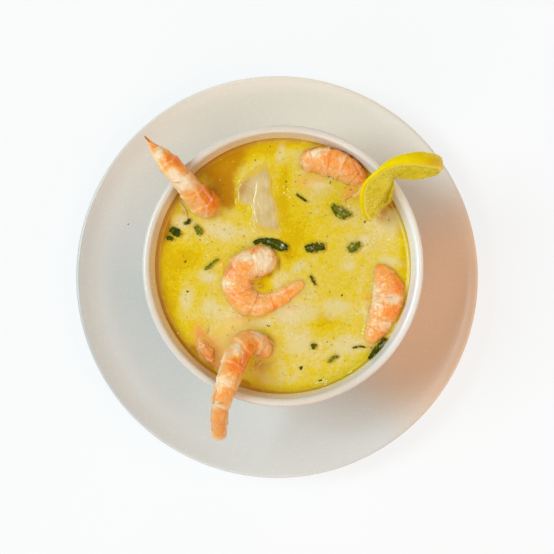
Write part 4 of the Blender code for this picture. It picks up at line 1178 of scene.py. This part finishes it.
def mushroom_look():
    """Wet pale flesh with fibres, brown places, painted highlights on raised gleams, and a film of soup from
    its edge.
    """
    look = Look(
        "mushroom", IOR=1.38, Subsurface_Weight=0.25, Subsurface_Scale=0.002,
        Subsurface_Radius=(1.0, 0.75, 0.4), Coat_Weight=0.5, Coat_Roughness=0.1,
    )
    fibre = look.noise(2.2, 4, look.place((1.6, 0.35, 1.0)), warp=0.5)
    blot = look.noise(6, 3)
    tone = look.total((fibre, 0.6), (blot, 0.5), (look.mark("edge"), -0.35))
    colour = look.ramp(tone, [
        (0.2, (0.58, 0.42, 0.15)), (0.5, (0.66, 0.52, 0.24)), (0.8, (0.74, 0.63, 0.38)),
    ])
    film = look.total((look.mark("edge"), 1.35), (blot, 1.2), (look.noise(1.2, 3), 0.9), -1.15)
    film = look.ranged(look.total(film, look.mark("film")), 0.2, 0.75, 0.0, 0.85)
    colour = look.paint(colour, film, (0.72, 0.53, 0.045))
    colour = look.paint(colour, "tan", (0.50, 0.28, 0.10))
    # Painted highlights
    colour = look.paint(colour, "gleam", (0.96, 0.90, 0.42))
    gloss = look.ranged(blot, 0.3, 0.7, 0.22, 0.4)
    return look.finish(Base_Color=colour, Roughness=gloss, Normal=look.bump(fibre, 0.25, 0.6))


def make_mushroom(look):
    outline = curve_through(MUSHROOM_OUTLINE + MUSHROOM_OUTLINE[:1], 12)[:-1]
    centre = np.mean(MUSHROOM_OUTLINE, 0)
    count = len(outline)
    wave = 1 + 0.012 * rough(np.column_stack([outline, np.zeros(count)]), 2.0, 3, 2)
    outline = centre + (outline - centre) * wave[:, None]
    # Rings from below round the edge to the middle of the top: share of the outline and height over the top
    low = -MUSHROOM_THICKNESS
    levels = [(0.86, low), (1.0, low + 0.9), (1.0, -0.9), (0.985, -0.5), (0.95, -0.15)]
    levels += [(share, 0.0) for share in np.linspace(0.91, 0.03, 34)]
    flat = np.vstack([
        np.column_stack([centre + (outline - centre) * share, np.full(count, MUSHROOM_TOP + drop)])
        for share, drop in levels
    ])
    rim = np.repeat([share for share, _ in levels], count)
    # Lines raised a little, which carry painted highlights
    gleam = np.clip(sum(lines_at(*in_picture(flat), MUSHROOM_GLEAMS)), 0, 1)
    gleam = gleam * (0.45 + 0.55 * (noise(flat, 1.3, 14) > -0.2))
    flat[:, 2] += (rim < 0.96) * (0.42 * (1 - rim**2) + 0.12 * rough(flat, 3.0, 6, 3) + 0.3 * gleam)
    flat = np.vstack([flat, (*centre, flat[0, 2]), (*centre, flat[-count:, 2].mean())])
    marks = {
        "edge": np.append(smooth_step(0.62, 1.0, rim), (1.0, 0.0)),
        "gleam": gleam * 0.55,
        "tan": spots(flat, MUSHROOM_TAN) * (0.45 + 0.55 * (noise(flat, 0.9, 2) > 0)),
        "film": spots(flat, MUSHROOM_FILM, 2.0),
    }
    faces = closed_faces(len(levels), count)
    return outwards(add_piece("mushroom_body", flat, faces, look, ("mushroom_slice",), marks))


def herb_look(name, dark, light, bright, torn=0.0):
    """A wet leaf that the soup laps over at its ragged rim, and more where it is torn."""
    look = Look(name, Specular_IOR_Level=0.07, Subsurface_Weight=0.05, Subsurface_Scale=0.001)
    fine = look.noise(0.7, 4, warp=0.6)
    wide = look.noise(2.2, 3)
    tone = look.total((fine, 0.85), (wide, 0.55), (look.mark("rib"), 0.08), -0.22)
    colour = look.ramp(tone, [(0.3, dark), (0.58, light), (0.86, bright)])
    film = look.total((look.mark("rim"), 0.36), look.noise(1.5, 4, warp=0.5), (fine, 0.35), torn)
    colour = look.paint(colour, look.ranged(film, 0.84, 1.0, 0.0, 0.85), (0.68, 0.52, 0.03))
    # Painted highlights
    colour = look.paint(colour, "glint", (0.90, 0.92, 0.88))
    gloss = look.ranged(wide, 0.3, 0.7, 0.25, 0.5)
    return look.finish(Base_Color=colour, Roughness=gloss, Normal=look.bump(fine, 0.25, 0.8))


def herb_plan(rows, seed):
    """Places (x, y) of a blade's grid, row by row along it, and its rows' distances along it."""
    curve = curve_through(rows, 14)
    total = lengths_of(curve, 2)[-1]
    stations = max(int(total / HERB_STEP), 18)
    distance = np.linspace(0, total, stations)
    here = along_curve(curve, 2, distance)
    along = unit(along_curve(curve, 2, distance + 0.3)[:, :2] - along_curve(curve, 2, distance - 0.3)[:, :2])
    side = np.stack([-along[:, 1], along[:, 0]], 1)
    across = np.linspace(-1, 1, HERB_COLUMNS)
    place = np.stack([distance, np.zeros(stations), np.full(stations, seed * 7.0)], 1)
    left, right = (here[:, 2] * (1 + 0.16 * rough(place, 1.1, edge, 2)) for edge in (3, 8))
    half = np.where(across < 0, left[:, None], right[:, None])
    # The cut ends are ragged
    place = np.stack([across * 3, np.zeros(HERB_COLUMNS), np.full(HERB_COLUMNS, seed)], 1)
    shift = 0.35 * rough(place, 0.8, 5, 2)
    slide = np.zeros((stations, HERB_COLUMNS))
    slide[:4] += shift * np.linspace(1, 0.1, 4)[:, None]
    slide[-4:] += shift[::-1] * np.linspace(0.1, 1, 4)[:, None]
    plan = here[:, None, :2] + side[:, None] * (across * half)[..., None] + along[:, None] * slide[..., None]
    return plan.reshape(-1, 2), distance


def herb_faces(stations):
    """Faces of a thin blade: its underside, its top, and the strip round its border."""
    columns, count = HERB_COLUMNS, stations * HERB_COLUMNS
    grid = grid_faces(stations, columns, False)
    faces = [tuple(count + i for i in f) for f in grid] + [tuple(f[::-1]) for f in grid]
    border = [k * columns for k in range(stations)]
    border += [(stations - 1) * columns + j for j in range(1, columns)]
    border += [k * columns + columns - 1 for k in range(stations - 2, -1, -1)]
    border += list(range(columns - 2, 0, -1))
    return faces + [(a, b, count + b, count + a) for a, b in zip(border, border[1:] + border[:1])]


def make_herb(name, look, seed):
    """A crumpled thin blade with ragged ends and a rib along it."""
    rows, fold = HERBS[name]
    plan, distance = herb_plan(rows, seed)
    stations = len(distance)
    across = np.linspace(-1, 1, HERB_COLUMNS)
    base = SOUP_TOP + (HERB_WALL_RISE if name == "herb_wall" else HERB_RISE)
    bottom = np.column_stack([plan, np.full(len(plan), base)])
    wave = HERB_WAVE * (1 + np.sin(distance * 1.3 + seed))[:, None] + fold * np.abs(across) ** 1.6
    crumple = 0.22 * rough(bottom, 1.7, seed + 11, 2).reshape(stations, HERB_COLUMNS)
    rib = np.tile(bell(across, 0.1), (stations, 1))
    bottom[:, 2] += np.clip(wave + crumple + 0.1 * rib, 0, 1.15).ravel()
    points = np.vstack([bottom, bottom + (0, 0, HERB_THICK)])
    tips = np.minimum(np.arange(stations), np.arange(stations)[::-1])
    rim = np.maximum(np.abs(across) ** 4, 0.9 * bell(tips, 2.5)[:, None])
    marks = {
        "rim": np.tile(rim.ravel(), 2),
        "rib": np.tile(rib.ravel(), 2),
        "glint": drawn_lines(points, LEAF_GLINTS.get(name, ())),
    }
    return outwards(add_piece(name + "_leaf", points, herb_faces(stations), look, (name,), marks))


def make_herbs(leaf):
    soft = herb_look("leaf_soft", (0.045, 0.055, 0.001), (0.21, 0.22, 0.012), (0.60, 0.56, 0.13), 0.03)
    thin = herb_look("leaf_thin", (0.015, 0.018, 0.0), (0.08, 0.085, 0.001), (0.36, 0.34, 0.02), 0.06)
    for seed, name in enumerate(HERBS, 1):
        look = soft if name in SOFT_HERBS else thin if name in THIN_HERBS else leaf
        make_herb(name, look, seed)


def soup_look():
    """Creamy soup: pale clouds, clear oil, dots and beads of fat, and what lies under or over its top."""
    look = Look(
        "soup", IOR=1.36, Subsurface_Weight=0.22, Subsurface_Scale=0.004, Subsurface_Radius=(1.0, 0.8, 0.15),
    )
    big = look.noise(15, 4, warp=1.2)
    medium = look.noise(4.5, 4, warp=0.8)
    small = look.noise(1.5, 3, warp=0.5)
    grain = look.noise(0.6, 2)
    tone = look.total(
        0.53, (look.mark("cream"), 0.5), (look.mark("oil"), -0.6), (big, 0.7), -0.35, (medium, 0.75), -0.375,
        (small, 0.72), -0.36, (grain, 0.5), -0.25, (look.mark("wall"), -0.4),
    )
    colour = look.ramp(tone, [
        (0.0, (0.67, 0.455, 0.001)), (0.26, (0.73, 0.545, 0.005)), (0.5, (0.735, 0.57, 0.045)),
        (0.74, (0.735, 0.595, 0.17)), (1.0, (0.765, 0.645, 0.33)),
    ])
    # Only some of the cells hold a dot
    chosen = look.node("ShaderNodeSeparateColor", {}, {"Color": look.cells(1.7, output="Color")}, "Red")
    dot = look.ranged(look.cells(1.7), 0.12, 0.26, 1.0, 0.0)
    dot = look.math("MULTIPLY", dot, look.ranged(chosen, 0.35, 0.5))
    colour = look.paint(colour, dot, (0.54, 0.43, 0.005), 0.6)
    bead = look.ranged(look.cells(1.05), 0.1, 0.3, 1.0, 0.0)
    colour = look.paint(colour, bead, (0.60, 0.52, 0.01), look.ranged(medium, 0.4, 0.7, 0.0, 0.5))
    colour = look.paint(colour, "pale", (0.73, 0.655, 0.37))
    # Painted warm light beside tall pieces
    colour = look.paint(colour, "warm", (0.96, 0.68, 0.20))
    colour = look.paint(colour, "blush", (0.86, 0.36, 0.11), look.ranged(small, 0.25, 0.5, 0.6, 1.0))
    # Painted shade where the shade mark says, broken up by noise
    dim = look.total((look.mark("shade"), 1.0), (medium, 0.7), -0.35, (small, 0.3), -0.15)
    colour = look.paint(colour, look.ranged(dim, 0.2, 0.85, 0.0, 0.95), (0.50, 0.235, 0.0015))
    # Painted shade in a thin line round the pieces that poke out
    colour = look.paint(colour, "painted_contact_shade", (0.56, 0.24, 0.004))
    # Painted highlight on the meniscus by the wall
    colour = look.paint(colour, "gleam", (0.95, 0.84, 0.26))
    wave = look.bump(look.total((medium, 1.0), (small, 0.4)), 0.35, 0.35)
    gloss = look.total(look.ranged(small, 0.3, 0.7, 0.16, 0.3), (look.mark("wall"), -0.06))
    fine = look.bump(look.total((grain, 0.15), (bead, 0.5), (dot, 0.4)), 0.06, 0.3, wave)
    return look.finish(Base_Color=colour, Roughness=gloss, Normal=fine)


def soup_height(plan, wall_distance, near, lap):
    """The lie of the surface. Its edge climbs the wall, and a little round what pokes out of it.

    near is how far the pieces are that poke out, and lap how far the mushroom is, which the soup laps over.
    """
    points = np.column_stack([plan, np.zeros(len(plan))])
    calm = np.clip(wall_distance / 3.0, 0, 1)
    swell = spots(np.column_stack([plan, np.full(len(plan), SOUP_TOP)]), SWELL, 2.0)
    return (
        SOUP_TOP + 1.5 * MENISCUS_RISE * np.exp(-wall_distance / 1.4) + 0.4 * np.exp(-near / 0.6)
        + 0.62 * np.exp(-lap / 1.8) * (1 + 0.5 * rough(points, 2.4, 33, 3)) + swell
        + calm * (0.10 * rough(points, 7.0, 2, 2) + 0.05 * rough(points, 1.6, 12, 2))
    )


def distances_to(trees, plan):
    """How far each place on the soup's top lies from the nearest piece, up to NEAR_LIMIT."""
    near = np.full(len(plan), NEAR_LIMIT)
    for tree in trees:
        for i, (x, y) in enumerate(plan):
            found = tree.find_nearest((x, y, SOUP_TOP), near[i])
            if found[3] is not None:
                near[i] = found[3]
    return near


def sunken_marks(surface):
    """How much shows of the pale pieces just under the surface."""
    u, v = in_picture(surface)
    pale = np.zeros(len(surface))
    for number, (a, b, wide, high, turn) in enumerate(SUNKEN):
        cos, sin = math.cos(math.radians(turn)), math.sin(math.radians(turn))
        x, y = (u - a) * cos + (v - b) * sin, (v - b) * cos - (u - a) * sin
        ragged = 0.25 * rough(surface, 3.0, 40 + number, 3)
        pale = np.maximum(pale, 0.66 * smooth_step(1.75, 0.35, np.hypot(x / wide, y / high) + ragged))
    return np.maximum(pale, 0.8 * bell(line_distance(u, v, SUNKEN_STRAND), 0.9))


def soup_marks(surface, wall_distance, near, edge):
    # Painted shade darkens the wall's band: its left half is ochre, its right half olive, with a painted
    # highlight line in it
    toward = (surface[:, 0] - BOWL_CENTRE[0]) / edge
    shade = spots(surface, SHADE) + (0.7 - 0.4 * toward) * bell(wall_distance, 3.2, 1.5)
    gleam = bell(wall_distance - 1.9 + 0.3 * toward, 0.42)
    gleam = gleam * np.clip(0.1 + 0.2 * toward + 0.5 * toward**2, 0, 1)
    return {
        "cream": np.clip(spots(surface, CREAM), 0, 1.2),
        "oil": np.clip(spots(surface, OIL), 0, 1.2),
        "wall": bell(wall_distance, 4.2, 1.3),
        "shade": np.clip(shade, 0, 1.1),
        "pale": sunken_marks(surface),
        # Painted shade in a thin line round the pieces
        "painted_contact_shade": 0.3 * np.exp(-near / 0.9) * (wall_distance > 0.5),
        "blush": np.clip(spots(surface, BLUSH, 1.5), 0, 0.9),
        # Painted warm light beside tall pieces
        "warm": np.clip(spots(surface, SOUP_PAINTED_LIGHT, 1.5), 0, 0.9),
        "gleam": gleam * (0.75 + 0.25 * noise(surface, 4.0, 51)),
    }


def make_soup(look, trees):
    """The soup, and the radius of its edge. The last of the trees is that of the mushroom."""
    # The edge lies between the first two rows of the bowl's inside
    inside = bowl_inside()
    slope = (inside[0, 0] - inside[1, 0]) / (inside[0, 1] - inside[1, 1])
    edge = inside[1, 0] + slope * (SOUP_TOP + MENISCUS_RISE - BOWL_BASE - inside[1, 1])
    edge += SOUP_OVERLAP
    share = np.linspace(0, 1, SOUP_RINGS + 1)[1:]
    radii = edge * (1 - (1 - share) ** 1.12)
    angle = ring_angles(SOUP_TURNS)
    plan = np.vstack([level_ring(BOWL_CENTRE, radius, angle, SOUP_TOP)[:, :2] for radius in radii])
    wall_distance = np.repeat(edge - radii, SOUP_TURNS)
    near, lap = distances_to(trees[:-1], plan), distances_to(trees[-1:], plan)
    surface = np.column_stack([plan, soup_height(plan, wall_distance, near, lap)])
    below = [
        level_ring(BOWL_CENTRE, radius - SOUP_CLEAR, angle, BOWL_BASE + z + SOUP_CLEAR)
        for radius, z in inside[2:]
    ]
    points = np.vstack([surface, *below, (*BOWL_CENTRE, SOUP_TOP), (*BOWL_CENTRE, BOWL_BASE + SOUP_BOTTOM)])
    marks = soup_marks(surface, wall_distance, near, edge)
    marks["wall"] = np.append(marks["wall"], np.ones(len(points) - len(plan)))
    faces = closed_faces(SOUP_RINGS + len(below), SOUP_TURNS)
    return outwards(add_piece("soup_broth", points, faces, look, ("soup",), marks)), edge


def is_clear(trees, x, y, clear):
    """Whether all floating pieces are further than clear from a place on the soup's top."""
    return all(tree.find_nearest((x, y, SOUP_TOP), clear)[0] is None for tree in trees)


def scatter_places(rng, count, edge, trees, clear):
    """Random places on the soup that keep clear of its wall and of what floats in it."""
    places = []
    while len(places) < count:
        x, y = rng.uniform(-edge, edge, 2)
        if math.hypot(x, y) > edge - CRUMB_EDGE:
            continue
        x, y = x + BOWL_CENTRE[0], y + BOWL_CENTRE[1]
        if is_clear(trees, x, y, clear):
            places.append((x, y))
    return places


def surface_at(tree, x, y):
    found = tree.ray_cast(Vector((x, y, 90)), Vector((0, 0, -1)))
    return found[0].z if found[0] else SOUP_TOP


def crumb(rng, x, y, z, size):
    """A flat, angular chip that lies in the surface."""
    sides = rng.integers(4, 7)
    angle = np.sort(rng.uniform(0, 2 * math.pi, sides)) if sides > 4 else np.arange(4) * math.pi / 2
    turn = rng.uniform(0, math.pi)
    long = rng.uniform(1.0, 2.0)
    reach = size * rng.uniform(0.75, 1.15, sides)
    a, b = reach * np.cos(angle) * long, reach * np.sin(angle)
    dx, dy = a * math.cos(turn) - b * math.sin(turn), a * math.sin(turn) + b * math.cos(turn)
    low = np.column_stack([x + dx, y + dy, np.full(sides, z - 0.12)])
    high = np.column_stack([x + dx * 0.7, y + dy * 0.7, np.full(sides, z + 0.10 + 0.2 * size)])
    faces = [tuple(range(sides))[::-1], tuple(sides + i for i in range(sides))]
    faces += [(i, (i + 1) % sides, sides + (i + 1) % sides, sides + i) for i in range(sides)]
    return np.vstack([low, high]), faces


def dome(x, y, z, radius, height, sides=14):
    """A closed round cap."""
    rings = [(1.0, 0.0), (0.92, 0.42), (0.7, 0.74), (0.38, 0.94)]
    angle = ring_angles(sides)
    points = [level_ring((x, y), radius * r, angle, z + height * h) for r, h in rings]
    faces = [tuple(range(sides))[::-1]] + grid_faces(len(rings), sides, True)
    faces += fan(len(rings) * sides, (len(rings) - 1) * sides, sides)
    return np.vstack([*points, (x, y, z + height)]), faces


def make_crumbs(rng, edge, trees, soup_tree):
    """Crumbs of herb and pepper."""
    look = two_tone("crumbs", 1.2, 2, (0.045, 0.05, 0.005), (0.24, 0.19, 0.015), Roughness=0.5)
    parts = []
    for x, y in scatter_places(rng, CRUMBS, edge, trees, CRUMB_CLEAR):
        size = rng.choice([0.16, 0.22, 0.3, 0.4], p=[0.5, 0.32, 0.14, 0.04])
        parts.append(crumb(rng, x, y, surface_at(soup_tree, x, y), size))
    for u, v, size in PEPPER:
        x, y = seen(u, v)
        parts.append(crumb(rng, x, y, surface_at(soup_tree, x, y), size))
    add_joined("crumbs", parts, look)


def make_oil_drops(rng, edge, trees, soup_tree):
    look = two_tone(
        "oil_drops", 3.0, 2, (0.66, 0.42, 0.004), (0.76, 0.62, 0.02),
        Roughness=0.12, IOR=1.47, Subsurface_Weight=0.2, Subsurface_Scale=0.001,
    )
    parts = []
    for x, y in scatter_places(rng, OIL_DROPS, edge, trees, OIL_CLEAR):
        size = rng.choice([0.3, 0.45, 0.7], p=[0.55, 0.33, 0.12])
        parts.append(dome(x, y, surface_at(soup_tree, x, y) - 0.03, size, 0.22 * size))
    add_joined("oil_drops", parts, look)


def make_bubbles(rng, edge, trees, soup_tree):
    look = two_tone(
        "bubbles", 1.0, 2, (0.80, 0.66, 0.16), (0.90, 0.82, 0.36),
        Roughness=0.08, IOR=1.34, Coat_Weight=0.6, Coat_Roughness=0.04,
    )
    parts = []
    for u, v, spread, count in BUBBLES:
        for _ in range(count):
            x, y = seen(u + spread * rng.normal() * 0.6, v + spread * rng.normal() * 0.45)
            size = rng.uniform(0.25, 0.6)
            in_bowl = math.hypot(x - BOWL_CENTRE[0], y - BOWL_CENTRE[1]) <= edge - BUBBLE_EDGE
            if in_bowl and is_clear(trees, x, y, BUBBLE_CLEAR):
                parts.append(dome(x, y, surface_at(soup_tree, x, y) - 0.05, size, 0.55 * size))
    add_joined("bubbles", parts, look)


def make_flakes(look, soup_tree):
    """Each flake is a few chips that lie close together."""
    rng = np.random.default_rng(5)
    parts = []
    for x, y, size, _ in FLAKES:
        z = surface_at(soup_tree, x, y) + 0.08
        for _ in range(3):
            dx, dy = rng.normal(0, 0.3 * size, 2)
            parts.append(crumb(rng, x + dx, y + dy, z, size * rng.uniform(0.35, 0.62)))
    add_joined("herb_flakes", parts, look)


def make_speck(look):
    """The dark speck on the left of the plate."""
    u, v, height, size = SPECK
    x, y = seen(u, v, height)
    share = (math.hypot(x, y) - PLATE_WELL_RADIUS) / (PLATE_RADIUS - PLATE_LIP - PLATE_WELL_RADIUS)
    points, faces = crumb(np.random.default_rng(3), x, y, plate_rise(share), size)
    add_piece("speck", points, faces, look)


def direction(azimuth, elevation):
    """The unit vector that points that way, from angles in degrees."""
    a, e = math.radians(azimuth), math.radians(elevation)
    return Vector((math.cos(e) * math.cos(a), math.cos(e) * math.sin(a), math.sin(e)))


def lamp(name, azimuth, elevation, size, colour):
    """A soft square light aimed at the bowl. Its colour is what it gives a white level surface."""
    place = direction(azimuth, elevation)
    light = bpy.data.lights.new(name, "AREA")
    light.shape = "SQUARE"
    light.size = size
    light.energy = math.pi**2 * LAMP_DISTANCE**2 / place.z
    light.color = colour
    item = bpy.data.objects.new(name, light)
    item.location = place * LAMP_DISTANCE + Vector((0, 0, LAMP_AIM))
    item.rotation_euler = place.to_track_quat("Z", "Y").to_euler()
    bpy.context.scene.collection.objects.link(item)


def set_camera(scene):
    camera = bpy.data.cameras.new("camera")
    camera.sensor_width = 36.0
    camera.lens = FOCAL_PIXELS / PICTURE * camera.sensor_width
    camera.clip_end = 2 * FLOOR_REACH + 2
    eye = bpy.data.objects.new("camera", camera)
    eye.location = (0, 0, CAMERA_HEIGHT * MM)
    scene.collection.objects.link(eye)
    scene.camera = eye


def make_floor(scene):
    """A light table, so that the plate throws only a faint shadow."""
    look = Look("floor", Roughness=0.9, Specular_IOR_Level=0.0, Emission_Strength=0.757)
    shade = look.noise(400, 2)
    table = look.ramp(shade, [(0.3, (0.21, 0.21, 0.21)), (0.7, (0.22, 0.22, 0.22))])
    glow = look.ramp(shade, [(0.3, (0.955, 0.985, 1.0)), (0.7, (0.96, 0.985, 0.995))])
    mesh = bpy.data.meshes.new("floor")
    around = ((-1, -1), (1, -1), (1, 1), (-1, 1))
    levels = (-FLOOR_DROP, FLOOR_UPTURN)
    corners = [(x * FLOOR_REACH, y * FLOOR_REACH, z) for z in levels for x, y in around]
    sides = [(i, (i + 1) % 4, 4 + (i + 1) % 4, 4 + i) for i in range(4)]
    mesh.from_pydata(corners, [], [(0, 1, 2, 3)] + sides)
    mesh.materials.append(look.finish(Base_Color=table, Emission_Color=glow))
    ground = bpy.data.objects.new("floor", mesh)
    scene.collection.objects.link(ground)


def set_stage():
    scene = bpy.context.scene
    set_camera(scene)
    make_floor(scene)
    for name, settings in LAMPS.items():
        lamp(name, *settings)
    world = bpy.data.worlds.new("studio")
    world.use_nodes = True
    background = world.node_tree.nodes["Background"]
    background.inputs["Color"].default_value = (1.0, 0.86, 0.78, 1.0)
    background.inputs["Strength"].default_value = 0.08
    scene.world = world
    scene.view_settings.view_transform = "Standard"


def tree_of(piece):
    """A tree that finds places on a piece, in millimetres."""
    mesh = piece.data
    points = [v.co / MM for v in mesh.vertices]
    return BVHTree.FromPolygons(points, [tuple(p.vertices) for p in mesh.polygons])


def build():
    set_stage()
    make_porcelain()
    floating = make_shrimps() + [make_lemon(lemon_look()), make_mushroom(mushroom_look())]
    leaf = herb_look("leaf", (0.015, 0.021, 0.0), (0.06, 0.077, 0.001), (0.25, 0.28, 0.012), -0.05)
    make_herbs(leaf)
    make_strands()
    trees = [tree_of(piece) for piece in floating]
    broth, edge = make_soup(soup_look(), trees)
    soup_tree = tree_of(broth)
    rng = np.random.default_rng(11)
    for make in (make_crumbs, make_oil_drops, make_bubbles):
        make(rng, edge, trees, soup_tree)
    make_flakes(leaf, soup_tree)
    make_speck(leaf)


build()
